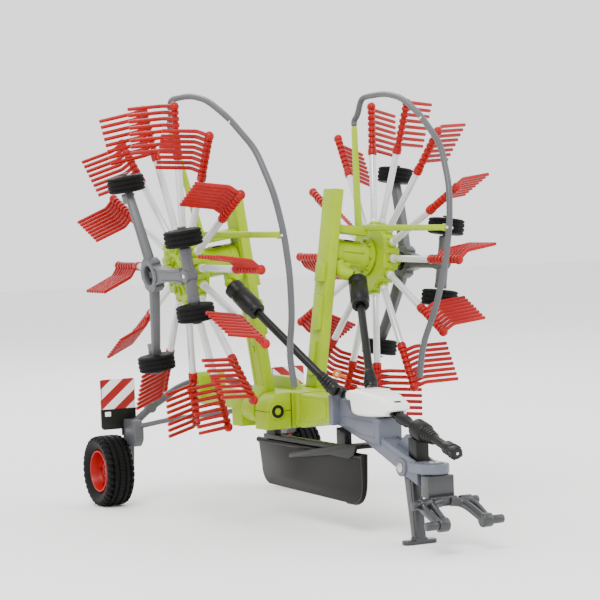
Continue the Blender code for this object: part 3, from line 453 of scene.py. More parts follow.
def hub():
    """Two castellated discs with a socket for every arm, a ribbed dome and a centre gear."""
    parts = [turned([(3.9, -6), (22.6, -6), (23.5, -5.2), (23.5, -2.9), (22.7, -2.4), (8.2, -2.4),
                     (8.2, 2.4), (20.6, 2.4), (21.4, 3.1), (21.2, 5.2), (20.2, 5.8), (13.2, 6.2),
                     (11.4, 7.0), (10.2, 9.6), (3.9, 10)], 56, True)]
    parts += spread(pin((10.5, 0, 0), (25.2, 0, 0), 3.3, 0.35, 14))
    parts += spread(block((16.8, -2.2, -5.9), (23.8, 2.2, 5.4), 0.4, 0.6), ARMS, 0.0)
    parts += spread(block((8.6, -0.9, 5.5), (17.6, 0.9, 7.6), 0.35, 0.3), ARMS, 0.0)
    parts += spread(block((4.2, -1.1, 6.0), (8.8, 1.1, 10.9), 0.3, 0.3), 10, 0.0)
    return parts


def housing():
    """Gear drum with ribs, a bolted flange and the arm that carries the drive shaft's mouth."""
    drum = turned([(0, -36.2), (9.0, -36.2), (10.0, -35.2), (10.0, -31.0), (9.4, -30.4),
                   (9.4, -14.6), (10.0, -13.4), (10.0, -9.2), (12.0, -8.9), (13.0, -8.2),
                   (13.0, -6.9), (12.4, -6.3), (0, -6.3)], 48)
    ribs = spread(block((8.6, -0.8, -30.8), (10.3, 0.8, -14.0), 0.3, 0.2), 6, 0.25)
    bolts = spread(placed(disc(1.1, -10.4, -8.6, 0.3, 6), shift(11.2, 0, 0)), 8, 0.0)
    arm = tube([(-6, 7, -33.6), (-12.5, 9.5, -31), (-14.4, 15.2, -24.2)], (5.2, 4.0), 16, 3.0)
    boss = disc(6.2, -24, -17.2, 0.8, 24)
    post = block((-14.2, 3.2, -36.0), (-5.5, 11.2, -24.5), 0.8, 1.5)
    knob = placed(dome(3.0, 3.0), shift(*PIVOT))
    shaft = disc(3.6, 0, 19.4, 0.3, 20)
    return [drum, arm, post, knob, shaft, boss] + ribs + bolts


def dark_parts():
    """Black patch of painted shade for an opening in the drum's upper side, and the ribbed bearing
    inside the carriage's ring.
    """
    bearing = turned([(0, 19.0), (6.0, 19.0), (6.0, 24.6), (5.2, 24.9), (3.4, 24.2), (2.2, 25.6),
                      (0, 25.6)], 32)
    ribs = spread(block((2.0, -0.4, 23.6), (5.6, 0.4, 25.4), 0.2, 0.2), 8, 0.0)
    # The first block is painted shade: a black patch where the drum's opening would lie in shadow.
    return [block((8.9, -3.6, -27.0), (10.15, 3.6, -20.0), 0.3, 1.2), bearing] + ribs


def carriage():
    """Ring with a ribbed hub, a flared beam to the front cross bar and two rear arms."""
    ring = turned([(6.3, 20.2), (10.0, 20.2), (10.5, 20.8), (10.5, 27.0), (9.9, 27.6), (7.0, 27.6),
                   (6.3, 26.9)], 40, True)
    ribs = spread(block((8.6, -3.4, 20.3), (11.4, 3.4, 27.5), 0.6, 1.2), 6, 0.5)
    outline = [(-6.4, 8.0), (6.4, 8.0), (4.3, 18.0), (4.0, 40.0), (5.6, 50.5), (-5.6, 50.5),
               (-4.0, 40.0), (-4.3, 18.0)]
    parts = [ring, slab(outline, 21.0, 26.6, 0.8, 2.5)] + ribs
    for side in (-1, 1):
        edge = [(side * 4.9, 9), (side * 6.3, 9), (side * 4.2, 18), (side * 3.9, 40),
                (side * 5.4, 49), (side * 3.2, 49), (side * 2.7, 40), (side * 3.0, 18)]
        parts.append(slab(edge, 20.3, 27.3, 0.4))

    def bar(forward, start, stop, radius, edge, steps=20):
        """Round piece of a spindle, between two places up or down from the rotor's centre."""
        parts.append(pin((start, forward, BAR_OUT), (stop, forward, BAR_OUT), radius, edge, steps))

    parts.append(tube([(-17.4, BAR_FORWARD, BAR_OUT), (17.4, BAR_FORWARD, BAR_OUT)], 3.6, 16, 0, 1.0,
                      2.8))
    parts.append(placed(disc(4.6, 18.4, 26.6, 0.7, 24), shift(0, BAR_FORWARD, 0)))
    for side in (-1, 1):
        bar(BAR_FORWARD, side * 14.0, side * 17.6, 4.1, 0.5)
        bar(BAR_FORWARD, side * 16, side * 29.6, 1.8, 0.3, 14)
        bar(BAR_FORWARD, side * 30.2, side * 31.2, 3.0, 0.4)
        parts.append(tube([(side * 8.5, -1.4, 23.8), (side * 34.0, -10.6, 23.4),
                           (side * 53.4, -19.6, BAR_OUT)], (4.1, 3.4), 16, 16.0, 0.85, 3.4))
        bar(REAR_SPINDLE, side * 51.4, side * 53.6, 4.4, 0.5)
        bar(REAR_SPINDLE, side * 52, side * 65.6, 1.8, 0.3, 14)
        bar(REAR_SPINDLE, side * 66.2, side * 67.2, 3.0, 0.4)
        parts.append(block((side * 50 - 3.0, -25.2, 19.6), (side * 50 + 3.0, -19.0, 25.4), 0.5,
                           0.8))
    return parts


def small_wheel():
    """Tread with three grooves, each (radius, height) swept round: x = r cos a, y = r sin a.

    A quarter of each of the 52 steps round the tread is 0.22 mm lower, which makes cross cuts.
    """
    cuts, steps, half = 52, 208, 5.4
    a = np.arange(steps) * 2 * math.pi / steps
    z = np.array([-4.6, -6.0, -6.0, -5.7, -5.0, -3.9, -3.7, -2.9, -2.7, -0.6, -0.4, 0.4, 0.6, 2.7,
                  2.9, 3.7, 3.9, 5.0, 5.7, 6.0, 6.0, 4.6]) * half / 6
    inner = np.array([2.6, 6.2, 9.6, 11.0, 12.0, 12.3, 11.7, 11.7, 12.3, 12.3, 11.7])
    r = np.concatenate([inner, inner[::-1]])
    cut = (np.mod(a * cuts / (2 * math.pi), 1) < 0.25).astype(float)
    depth = np.where(r > 11.9, 0.22, 0)[:, None]
    ring = r[:, None] - depth * cut[None, :]
    grid = np.stack([ring * np.cos(a), ring * np.sin(a), z[:, None] + 0 * ring], -1)
    bore = turned([(2.4, -half + 1.6), (2.4, half - 1.6), (5.5, half - 0.9), (5.5, -half + 0.9)],
                  32, True)
    return [surface(grid, True), bore, disc(6.8, -4.4, 4.4, 0.3, 32)]


# The guard bar's corners: up and forward of the rotor's centre.
GUARD = [(90.0, -19.0), (93.8, -20.0), (97.2, -15.5), (106.5, -13.5), (109.7, -9.5), (110.5, 19.0),
         (106.5, 42.0), (94.0, 68.0), (72.7, 98.0), (45.1, 113.0), (21.2, 117.5), (-5.7, 116.5),
         (-32.6, 110.0), (-57.1, 98.1), (-78.0, 98.0)]


def guard():
    """Round bar bent along the guard's line."""
    return [tube([(up, forward, GUARD_OUT) for up, forward in GUARD], 2.05, 14, 9.0)]


def rivets():
    """Small light rivets through the guard bar and on the carriage's cross bar."""
    spots = [placed(disc(0.95, -2.35, 2.35, 0.3, 12), shift(up, forward, GUARD_OUT))
             for up, forward in ((91.2, 72.2), (19.0, 117.6), (-56.0, 98.6))]
    return spots + [placed(disc(1.3, 26.4, 27.1, 0.3, 16), shift(0, BAR_FORWARD, 0))]


def guard_stay():
    """Bracket on the boom, a tapered upright to the guard's end and a bar forward to the guard."""
    line = np.array([90.0 - 16.0, -19.0 - 1.0])
    line /= np.linalg.norm(line)
    side = np.array([-line[1], line[0]])
    root, top = np.array([16.0, 1.0]), np.array([89.6, -18.9])
    upright = slab([root + side * 3.0, root - side * 3.0, top - side * 1.9, top + side * 1.9],
                   -16.4, -13.6, 0.5, 1.4)
    foot = block((13.6, -2.2, -36.2), (19.4, 11.4, -13.7), 0.6, 1.2)
    bar = slab([(17.1, 2.0), (21.2, 2.0), (21.0, 115.2), (17.3, 115.2)], -16.2, -13.8, 0.5, 0.6)
    clip = placed(disc(2.4, -17.0, -12.8, 0.4, 16), shift(19.1, 112.6, 0))
    return [upright, foot, bar, clip]


def boom():
    """Rectangular tube with a lug round the fold pin, edge beads, three blocks and three rivets."""
    tube_part = block((-92.0, -3.0, -43.3), (43.0, 14.0, -36.5), 0.9, 0.9)
    centre = np.array([HINGE[0], HINGE[2]])
    a = np.radians(np.linspace(40, 285, 22))
    arc = centre + 8.5 * np.stack([np.cos(a), np.sin(a)], 1)
    outline = np.concatenate([[(-86.0, -43.1), (-86.0, -36.7)], arc])
    lug = placed(slab(outline, -8.3, 8.3, 0.7), shift(0, 5.5, 0) @ UPRIGHT)
    parts = [tube_part, lug]
    for low, high in ((-90, -34), (-28, 40)):
        parts.append(block((low, 0.0, -36.8), (high, 1.4, -36.1), 0.25, 0.3))
        parts.append(block((low, 9.6, -36.8), (high, 11.0, -36.1), 0.25, 0.3))
    parts += [block((-20.4, 2.0, -46.6), (-7.4, 12.0, -42.8), 0.6, 0.8),
              block((-53.6, 2.0, -45.8), (-29.6, 12.6, -42.8), 0.6, 2.4),
              block((-84.0, 1.0, -45.0), (-61.0, 8.0, -42.8), 0.6, 0.8)]
    for up in (-62.0, 8.0, 34.0):
        parts.append(placed(disc(2.0, -37.0, -35.6, 0.4, 20), shift(up, 5.5, 0)))
    return parts


def joint_bulb(centre, line):
    """Bellows of a shaft joint: four rings, each wider than the last, and a rounded end."""
    outline = [(2.6, -13.6), (3.3, -13.0), (3.5, -11.0)]
    for i in range(4):
        at, size = -10.6 + 2.5 * i, 3.7 + 0.35 * i
        outline += [(size - 0.5, at), (size, at + 0.6), (size, at + 1.5), (size - 0.5, at + 2.1)]
    outline += [(4.4, 0.6), (3.9, 2.4), (2.4, 3.8), (0, 4.2)]
    return [placed(turned([(0, -13.6)] + outline, 28), facing(centre, line))]


def drive_tube():
    """Sleeve with a flared mouth at the drum and a lip where the rod comes out."""
    start = PIVOT + LINE * 3.4
    outline = [(3.4, 0.0), (5.6, 0.0), (6.4, 0.9), (6.5, 5.0), (6.1, 5.8), (6.1, 8.0), (6.5, 8.8),
               (6.5, 22.0), (5.9, 23.0), (5.9, 26.2), (5.2, 27.0), (3.3, 27.0)]
    return [placed(turned(outline, 32, True), facing(start, LINE)),
            placed(turned([(3.3, 20), (3.3, 26.6), (5.0, 26.6), (5.0, 20)], 24, True),
                   facing(start, LINE))]


def drive_rod():
    """Plain rod into the sleeve, and its bellows joint at the gearbox."""
    start = PIVOT + LINE * 6.9
    rod = pin(start, LOWER - LINE * 2, 2.7, 0.4)
    return [rod] + joint_bulb(LOWER, LINE)


# ---- chassis ----

def centre_frame():
    """Two-eared block with slots for the booms, the neck ahead of it and the main beam behind."""
    half = FRAME_HALF
    ear = [(13.9, 62.0), (half, 62.0), (half, 74.2), (half - 0.9, 78.0), (half - 3.2, 82.0),
           (half - 6.6, 84.8), (half - 10.4, 86.0), (13.9, 86.0)]
    ears = []
    for side in (-1, 1):
        flipped = [(side * x, z) for x, z in ear]
        ears.append(placed(slab(flipped, 112.0, 126.8, 0.9), UPRIGHT))
        ears.append(placed(slab(flipped, 146.2, EAR_FRONT, 0.9), UPRIGHT))
    core = block((-14, 112.4, 62.2), (14, 163.8, 85.8), 0.8, 0.8)
    neck = profile([(158, 63.2), (172, 62.6), (186, 64.6), (200, 67.8), (212, 69.2), (212, 85),
                    (158, 85)], -11, 11, 1.0, 1.0)
    rib = profile([(163.0, 64.0), (166.5, 64.0), (169.5, 70), (169.5, 85.6), (163.0, 85.6)],
                  -12.2, 12.2, 0.6)
    beam = block((-7.5, 6, 68), (7.5, 118, 79), 0.8, 0.8)
    edge = block((-8.3, 22, 76.4), (8.3, 112.6, 79.4), 0.5, 0.6)
    plate = profile([(113.5, 80), (113.5, 94.0), (141.5, 94.0), (148.5, 88.5), (152, 80)], -2.4,
                    2.4, 0.6, 1.5)
    saddle = profile([(6, 70), (6, 88.5), (8.5, 90.8), (15.5, 90.8), (18, 88.5), (18, 70)],
                     -10.4, 10.4, 0.7)
    parts = ears + [core, neck, rib, beam, edge, plate, saddle]
    for side in (-1, 1):
        across = side * PIN_ACROSS
        parts.append(pin((across, 116, PIN_HEIGHT), (across, 164.6, PIN_HEIGHT), 3.0, 0.3, 24))
        parts.append(pin((across, 163.6, PIN_HEIGHT), (across, 165.2, PIN_HEIGHT), 5.6, 0.5, 32))
        parts.append(profile([(176, 66.5), (206, 71.0), (206, 82.5), (176, 82.5)],
                             side * 11.2 - 0.4, side * 11.2 + 0.4, 0.3, 2.0))
    return parts


def frame_pins():
    """Dark ring round the head of each fold pin."""
    ring = turned([(2.4, 0), (4.3, 0), (4.3, 0.9), (2.4, 0.9)], 32, True)
    return [placed(ring, facing((side * PIN_ACROSS, EAR_FRONT + 0.9, PIN_HEIGHT), (0, 1, 0)))
            for side in (-1, 1)]


def frame_groove_shade():
    """Painted shade in the grooves between the moulded halves: strips across each ear and down
    beside the neck.
    """
    parts, behind, ahead = [], EAR_FRONT - 0.4, EAR_FRONT + 0.12
    for side in (-1, 1):
        for inner, outer in ((14.2, 20.4), (29.6, 32.0)):
            low, high = sorted((side * inner, side * outer))
            parts.append(block((low, behind, 73.8), (high, ahead, 74.25), 0.1, 0))
        beside = side * 14.3
        parts.append(block((beside - 0.25, behind, 62.6), (beside + 0.25, ahead, 85.2), 0.1, 0))
        low, high = sorted((side * (FRAME_HALF - 0.5), side * (FRAME_HALF + 0.12)))
        parts.append(block((low, 147.0, 73.8), (high, behind, 74.25), 0.1, 0))
    return parts


def drawbar():
    """Flanged tapering panel, sloping tongue, gusset and post, eye plate and stand cheeks."""
    def top(ahead):
        """Height of the tongue's upper edge."""
        return 62.5 - (ahead - 267.0) * 0.29

    flange = block((-13, 212.3, 67.5), (13, 217.3, 87), 0.7, 0.9)
    panel = profile([(214.3, 67.3), (244, 60), (267, top(267) - 4), (267, 74.5), (259, 76.5),
                     (233, 76.5), (225, 84), (214.3, 84)], -7.8, 7.8, 0.8)
    face = profile([(222, 69.2), (243, 64), (262, 62.5), (262, 72.0), (222, 73.5)], -8.3, 8.3, 0.4,
                   1.6)
    pillar = block((-8.6, 262.2, 60.0), (8.6, 267.6, 74.3), 0.7, 1.0)
    tongue = profile([(242, 61), (309.5, 37), (309.5, top(309.5)), (263, top(263))], -6.8, 6.8, 0.9)
    rail = []
    for side in (-1, 1):
        low, high = sorted((side * 5.2, side * 7.2))
        rail.append(profile([(266, top(266) - 2.4), (266, top(266) + 0.9), (307, top(307) + 0.9),
                             (307, top(307) - 2.4)], low, high, 0.4))
    cheeks = [pin((side * 3.9, *STAND_PIN), (side * 8.2, *STAND_PIN), 5.7, 0.5, 32)
              for side in (-1, 1)]
    fin = profile([(276, top(276) - 1), (297, top(297) - 1), (297, 64.8), (288, 66.4)], -1.2, 1.2,
                  0.4)
    a = np.radians(np.linspace(-100, 100, 22))
    nose = np.stack([SWIVEL + 9.5 * np.cos(a), 9.5 * np.sin(a)], 1)
    eye = placed(slab(np.concatenate([nose, [(302, 8.6), (302, -8.6)]]), 45, 51, 0.7), SWAPPED)
    ring = placed(turned([(3.6, 50.5), (6.2, 50.5), (6.2, 51.6), (3.6, 51.6)], 32, True),
                  shift(0, SWIVEL, 0))
    return [flange, panel, face, pillar, tongue, fin, eye, ring] + rail + cheeks


def shaft_post_and_gap_shade():
    """Dark post under the input shaft's collar, and a dark disc at the swivel: painted shade in the
    gap under the eye plate.
    """
    post = profile([(296.2, 53.4), (296.2, 65.2), (300.0, 65.6), (306.0, 64.0), (306.0, 50.6)],
                   -4.5, 4.5, 0.7)
    # The disc is painted shade in the gap between the eye plate and the tow fork.
    return [post, placed(disc(8.2, 44.2, 45.2, 0.2, 32), shift(0, SWIVEL, 0))]


def cover():
    """Saddle lofted along the drawbar: |x / w|^7 + |z / h|^7 = 1 between its foot and its crown.

    Each row is a station: its place ahead, half width, foot and crown. The skirt is where the
    foot drops, and the nose is where the width draws in.
    """
    rows = np.array([(232.3, 9.5, 86.4, 88.0), (232.7, 11.4, 85.4, 89.8), (235, 12.2, 84.8, 91.0),
                     (240.4, 12.5, 84.0, 91.6), (241.4, 12.5, 76.4, 91.6), (246, 12.5, 75.5, 91.5),
                     (255, 11.9, 75.4, 90.9), (263, 10.7, 75.7, 89.8), (269, 9.4, 76.1, 88.5),
                     (274.4, 8.2, 76.8, 86.8), (276.6, 7.6, 79.4, 85.8), (280.4, 6.7, 80.0, 84.8),
                     (281.2, 5.9, 80.8, 84.2)])
    a = np.arange(64) * 2 * math.pi / 64
    x, y = np.cos(a), np.sin(a)
    stretch = (np.abs(x) ** 7 + np.abs(y) ** 7) ** (-1 / 7)
    ahead, wide, foot, crown = [column[:, None] for column in rows.T]
    grid = np.stack([wide * x * stretch, ahead + 0 * x,
                     (foot + crown) / 2 + (crown - foot) / 2 * y * stretch], -1)
    seam = block((-8.4, 238, 90.9), (8.4, 256, 91.9), 0.35, 2.5)
    return [surface(grid), seam]


def cover_recess_shade():
    """Black patches of painted shade for a small slot in the nose and the notch below it where the
    input shaft leaves.
    """
    return [block((-2.0, 275.6, 84.6), (2.0, 278.8, 86.1), 0.25, 0.6),
            block((-4.8, 268, 77.2), (4.8, 277.4, 82.0), 0.3, 1.0)]


def power_input():
    """Input shaft: flared collar, four bellows rings, thin shaft and a yoke with four ears.

    Its dark gearbox lies under the cover, with a stub on each side towards a drive rod.
    """
    here, length = facing(SHAFT_START, SHAFT_LINE), SHAFT_LENGTH
    outline = [(0, 0), (2.6, 0), (2.6, 20), (3.6, 21), (3.6, 30), (2.8, 31.5), (2.8, 38.0),
               (4.6, 38.8), (5.4, 40.5), (6.2, 41.5), (6.2, 51.0), (5.6, 52.0), (4.4, 52.4)]
    for i in range(4):
        at, size = 52.8 + 2.3 * i, 5.0 - 0.35 * i
        outline += [(size - 0.9, at), (size, at + 0.7), (size, at + 1.4), (size - 0.9, at + 2.1)]
    outline += [(3.0, 62.6), (2.7, 63.5), (2.7, length - 14), (3.9, length - 13),
                (4.2, length - 12), (4.2, length - 8.5), (3.4, length - 7.8)]
    parts = [placed(turned(outline + [(0, length - 7.8)], 32), here)]
    parts.append(placed(dome(4.1, 3.8, 28), here @ shift(0, 0, length - 7.6)))
    parts.append(placed(disc(3.9, length - 5.4, length - 0.4, 1.0, 28), here))
    for angle in (0.4, 2.0, 3.54, 5.14):
        lug = block((2.4, -1.0, length - 6.6), (4.5, 1.0, length - 0.9), 0.4, 0.4)
        parts.append(placed(lug, here @ turn(angle)))
    parts.append(block((-7.8, 235, 76.8), (7.8, 265, 87.2), 0.5, 0.8))
    across, ahead, height = ROD_EYE
    for side in (-1, 1):
        joint = np.array([side * across, ahead, height])
        root = np.array([side * 5.0, 237.0, 85.0])
        out = (joint - root) / np.linalg.norm(joint - root)
        parts.append(pin(root, joint - out * 5.2, 2.0, 0.3))
        parts.append(pin(joint - out * 8.4, joint - out * 5.4, 3.4, 0.5))
    return parts


def yoke_light():
    """Light inner end of the yoke."""
    return [placed(disc(0.9, -1.4, -0.2, 0.3, 20), facing(SHAFT_TIP, SHAFT_LINE))]


def axle():
    """Arched tube, a knuckle on each side with its drop plate, spindle and slender brace."""
    run = [(0.0, 85.0), (10, 85.0), (24, 81.2), (36, 74.5), (48, 67.5), (63, 55.5)]
    route = [(-x, 12.0, z) for x, z in run[:0:-1]] + [(x, 12.0, z) for x, z in run[1:]]
    parts = [tube(route, 2.75, 16, 8.0)]
    for side in (-1, 1):
        low, high = sorted((side * 57.4, side * 64.8))
        parts.append(profile([(3.0, 42), (18.5, 42), (23, 47), (23, 57.5), (19, 61), (3, 61)], low,
                             high, 0.7, 1.4))
        parts.append(profile([(8.0, 45), (17.0, 45), (19.5, 48.5), (19.5, 56), (8, 56)],
                             side * 57.4 - 0.6, side * 57.4 + 0.6, 0.4, 1.0))
        parts.append(profile([(-4.5, 20.5), (4.5, 20.5), (7.5, 46), (3.2, 46)], low + 2.2,
                             high - 0.4, 0.7, 1.8))
        parts.append(pin((side * 59.0, 0, WHEEL_RADIUS), (side * 64.9, 0, WHEEL_RADIUS), 5.4, 0.6,
                         28))
        parts.append(pin((side * 64, 0, WHEEL_RADIUS), (side * 77.6, 0, WHEEL_RADIUS), 3.0, 0.4,
                         24))
        parts.append(tube([(side * 63, 17, 55.5), (side * 44, 42, 62), (side * 20.5, 110, 71.5),
                           (side * 20.5, 111.6, 71.5)], 1.75, 12, 10.0))
        parts.append(pin((side * 47.0, 8.6, 68.2), (side * 47.0, 15.4, 68.2), 3.6, 0.5, 20))
    return parts


def road_tyre():
    """Five ribs round the tread and slanted lugs on both shoulders, wider on the inner side.

    Radius is 25 mm less 1.1 in four grooves. On the shoulders 0.45 of each 1/32 of the turn is
    1.2 lower, slanted by 0.16 of a lug for each millimetre across, and half a lug further round
    on the far side. 64 slanted cuts 0.45 deep cross the middle ribs. The whole is stretched by
    wide and moved in by inward.
    """
    wide, inward, steps, lugs = 1.17, 1.5, 320, 32
    a = np.arange(steps) * 2 * math.pi / steps
    z = np.array([0.1, 1.4, 1.7, 2.5, 2.8, 4.7, 5.0, 5.8, 6.1, 7.8, 8.6, 8.75, 8.3, 7.2, 5.9])
    r = np.array([25.0, 25.0, 23.9, 23.9, 25.0, 24.9, 23.9, 23.9, 24.8, 24.2, 22.6, 21.0, 19.4,
                  16.8, 15.3])
    z, r = np.concatenate([-z[::-1], z]), np.concatenate([r[::-1], r])
    z, r = z[:, None], r[:, None]
    lug = np.mod(a * lugs / (2 * math.pi) + 0.5 * (z > 0) + 0.16 * np.abs(z), 1) < 0.45
    shoulder = (np.abs(z) > 4.8) & (r > 21.5)
    middle = (r > 24.5) & (np.abs(z) < 5)
    cut = (np.mod(a * 2 * lugs / (2 * math.pi) + 0.12 * z, 1) < 0.2) & middle
    ring = r - 1.2 * (shoulder & lug) - 0.45 * cut
    outer = np.stack([ring * np.cos(a), ring * np.sin(a), z * wide - inward + 0 * ring], -1)
    return [surface(outer, True)]


def rim():
    """Dished wheel: rolled lip, sloping dish, flat web, six studs, six ribs and a centre boss."""
    outline = [(3.5, -5.7), (14.9, -5.7), (14.9, 5.9), (14.4, 6.6), (13.7, 6.6), (13.3, 5.8),
               (12.7, 2.0), (11.6, -0.6), (8.6, -1.6), (6.4, -1.5), (5.9, 0.2), (5.2, 0.8),
               (3.5, 0.8)]
    parts = [turned(outline, 56, True)]
    parts += spread(placed(disc(0.9, -1.8, -0.6, 0.3, 12), shift(9.3, 0, 0)), 6, 0.0)
    parts += spread(block((9.9, -0.6, -2.0), (12.9, 0.6, 1.4), 0.3, 0.3), 6, 0.5)
    return parts


def sign_board(side):
    """Thin board with rounded corners."""
    low, high = sorted(side * edge for edge in BOARD)
    outline = [(low, 54.5), (high, 54.5), (high, 89.7), (low, 89.7)]
    return [placed(slab(outline, 3.2, 4.7, 0.3, 1.8), UPRIGHT)]


def sign_foot(side):
    """Dark lower part of the board, its tab and a thin dark edge up one side."""
    low, high = sorted(side * edge for edge in BOARD)
    middle = side * 63.5
    outline = [(low - 0.15, 68.6), (low - 0.15, 56.0), (low + 1.6, 54.2), (high - 1.6, 54.2),
               (high + 0.15, 56.0), (high + 0.15, 68.6)]
    return [placed(slab(outline, 3.1, 5.0, 0.3), UPRIGHT),
            block((middle - 2.5, 3.2, 49.5), (middle + 2.5, 4.8, 56.4), 0.3, 0.6),
            block((low + 0.1, 3.1, 68.4), (low + 0.5, 4.9, 89.2), 0.15, 0.1)]


def curtain():
    """Thin hanging sheet with rounded foot corners, a rolled top lip and a thick front roll."""
    a = np.radians(np.linspace(0, -90, 8))
    nose = np.stack([238 + 11 * np.cos(a), 29.6 + 11 * np.sin(a)], 1)
    rear = np.stack([122 + 12 * np.cos(a - math.pi / 2), 33.0 + 12 * np.sin(a - math.pi / 2)], 1)
    outline = np.concatenate([[(106, 50), (249, 50)], nose, rear])
    sheet = profile(outline, CURTAIN - 0.9, CURTAIN + 0.9, 0.4)
    lip = tube([(104.6, CURTAIN, 50), (250.4, CURTAIN, 50)], 1.9, 14, 0)
    front = [(ahead, CURTAIN, height) for ahead, height in
             ((249.4, 51.6), (249.4, 31.0), (247.0, 23.4), (240.0, 19.4), (226.0, 19.0))]
    roll = tube(front, (2.4, 0.9), 14, 5.0)
    return [sheet, placed(lip, SWAPPED), placed(roll, SWAPPED)]


def bracket():
    """Black rail with a pointed arm, a link to it and two posts up to the frame."""
    def under(ahead):
        """Height of the panel's lower edge."""
        return 68 - 8 * (ahead - 214.3) / (244 - 214.3)

    rail = block((-12, 118, 52.2), (-6, 234, 55.2), 0.4, 0.6)
    back = block((-11.6, 121, 53), (-6.4, 134, 61.7), 0.5, 0.8)
    fore = profile([(219, 53), (230, 53), (230, under(230) - 0.3), (219, under(219) - 0.3)],
                   -11.6, -6.4, 0.4)
    arm = profile([(155.5, 41.8), (156.5, 45.4), (232, 57.0), (247, 57.4), (243, 50.5), (236, 48),
                   (212, 48.4)], -13.2, -11.0, 0.4, 0.8)
    link = block((-12.6, 233, 54.4), (2.0, 246, 57.0), 0.4, 0.8)
    return [rail, back, fore, arm, link]


def stand():
    """Boss, tapered leg with a raised middle and a thin foot plate."""
    def edge(z, side):
        """Place ahead of the leg's edge at a height: side is -1 behind and 1 in front."""
        share = (z - 3) / 44
        return 298.0 - 6.0 * share + side * (3.3 + 2.0 * share)

    leg = [(edge(z, -1), z) for z in (2.2, 20, 44)] + [(edge(z, 1), z) for z in (44, 20, 2.2)]
    panel = [(edge(z, -0.62), z) for z in (5, 20, 40)] + [(edge(z, 0.62), z) for z in (40, 20, 5)]
    boss = pin((-3.8, *STAND_PIN), (3.8, *STAND_PIN), 5.6, 0.5, 32)
    return [boss, profile(leg, -3.4, 3.4, 0.6), profile(panel, -3.8, 3.8, 0.3),
            block((-11.4, 294.9, 0), (11.4, 302.1, 2.8), 0.7, 3.0),
            block((-4.4, 295.2, 2.2), (4.4, 301.8, 4.2), 0.6, 0.8)]


def stand_pin():
    """Rivet through the cheeks, domed at both ends."""
    parts = [pin((-9, *STAND_PIN), (9, *STAND_PIN), 2.0, 0.2)]
    head = turned([(0, 1.5), (1.4, 1.4), (2.6, 1.0), (3.3, 0.3), (3.3, 0), (0, 0)], 28)
    for side in (-1, 1):
        parts.append(placed(head, facing((side * 8.4, *STAND_PIN), (side, 0, 0))))
    return parts


def hitch():
    """Swivel block, two slotted arms to the fork ends and pins at the ends and rear corners."""
    core = placed(disc(8.0, 31, 44.4, 0.7, 40), shift(0, SWIVEL, 0))
    face = block((-9, SWIVEL, 31), (9, 326.5, 44.4), 0.8, 0.9)
    web = block((-8.2, 320, 26.4), (8.2, 331.2, 32.2), 0.7, 1.0)
    parts = [core, face, web]
    for side in (-1, 1):
        inner = [(side * 3.0, 330.6, 28.9), (side * 10.5, 331.5, 28.0), (side * 12.0, 338.5, 25.4),
                 (side * 13.4, 350.5, 19.8)]
        outer = [(side * 6.0, 328.6, 28.6), (side * 15.6, 329.4, 28.4), (side * 18.2, 336.0, 25.8),
                 (side * 16.8, 350.5, 19.4)]
        parts.append(tube(inner, 1.95, 14, 4.0, 1.45, 3.0))
        parts.append(tube(outer, 1.85, 14, 4.0, 1.45, 3.0))
        parts.append(pin((side * 11.6, 351.0, 18.9), (side * 18.6, 351.0, 18.9), 4.3, 0.9, 32))
        parts.append(pin((side * 18.0, 351.3, 18.8), (side * 26.8, 351.3, 18.8), 2.7, 0.8, 24))
        parts.append(pin((side * 10.0, 330, 28.5), (side * 18.4, 330, 28.5), 3.6, 0.9, 24))
        parts.append(pin((side * 17.0, 330, 28.5), (side * 23.0, 330, 28.5), 2.7, 0.8, 24))
    return parts


def hitch_pin():
    """Shank with a domed head on the eye plate."""
    return [placed(turned([(0, 33.6), (2.0, 33.8), (2.0, 51.2), (3.6, 51.3), (3.6, 51.9),
                           (2.9, 52.7), (1.2, 53.1), (0, 53.1)], 32), shift(0, SWIVEL, 0))]


# ---- assembly ----

def local(across, ahead, height):
    """Right rotor's own coordinates of a chassis place."""
    sine, cosine = math.sin(LEAN), math.cos(LEAN)
    x, forward, z = across - ROTOR[0], ahead - ROTOR[1], height - ROTOR[2]
    return np.array([sine * x + cosine * z, forward, cosine * x - sine * z])


# The drive shaft's upper and lower pivot and the line between them; the fold pin's middle.
PIVOT = np.array([-14.4, 16.0, -21.6])
LOWER = local(*ROD_EYE)
LINE = (LOWER - PIVOT) / np.linalg.norm(LOWER - PIVOT)
HINGE = local(PIN_ACROSS, ROTOR[1], PIN_HEIGHT)


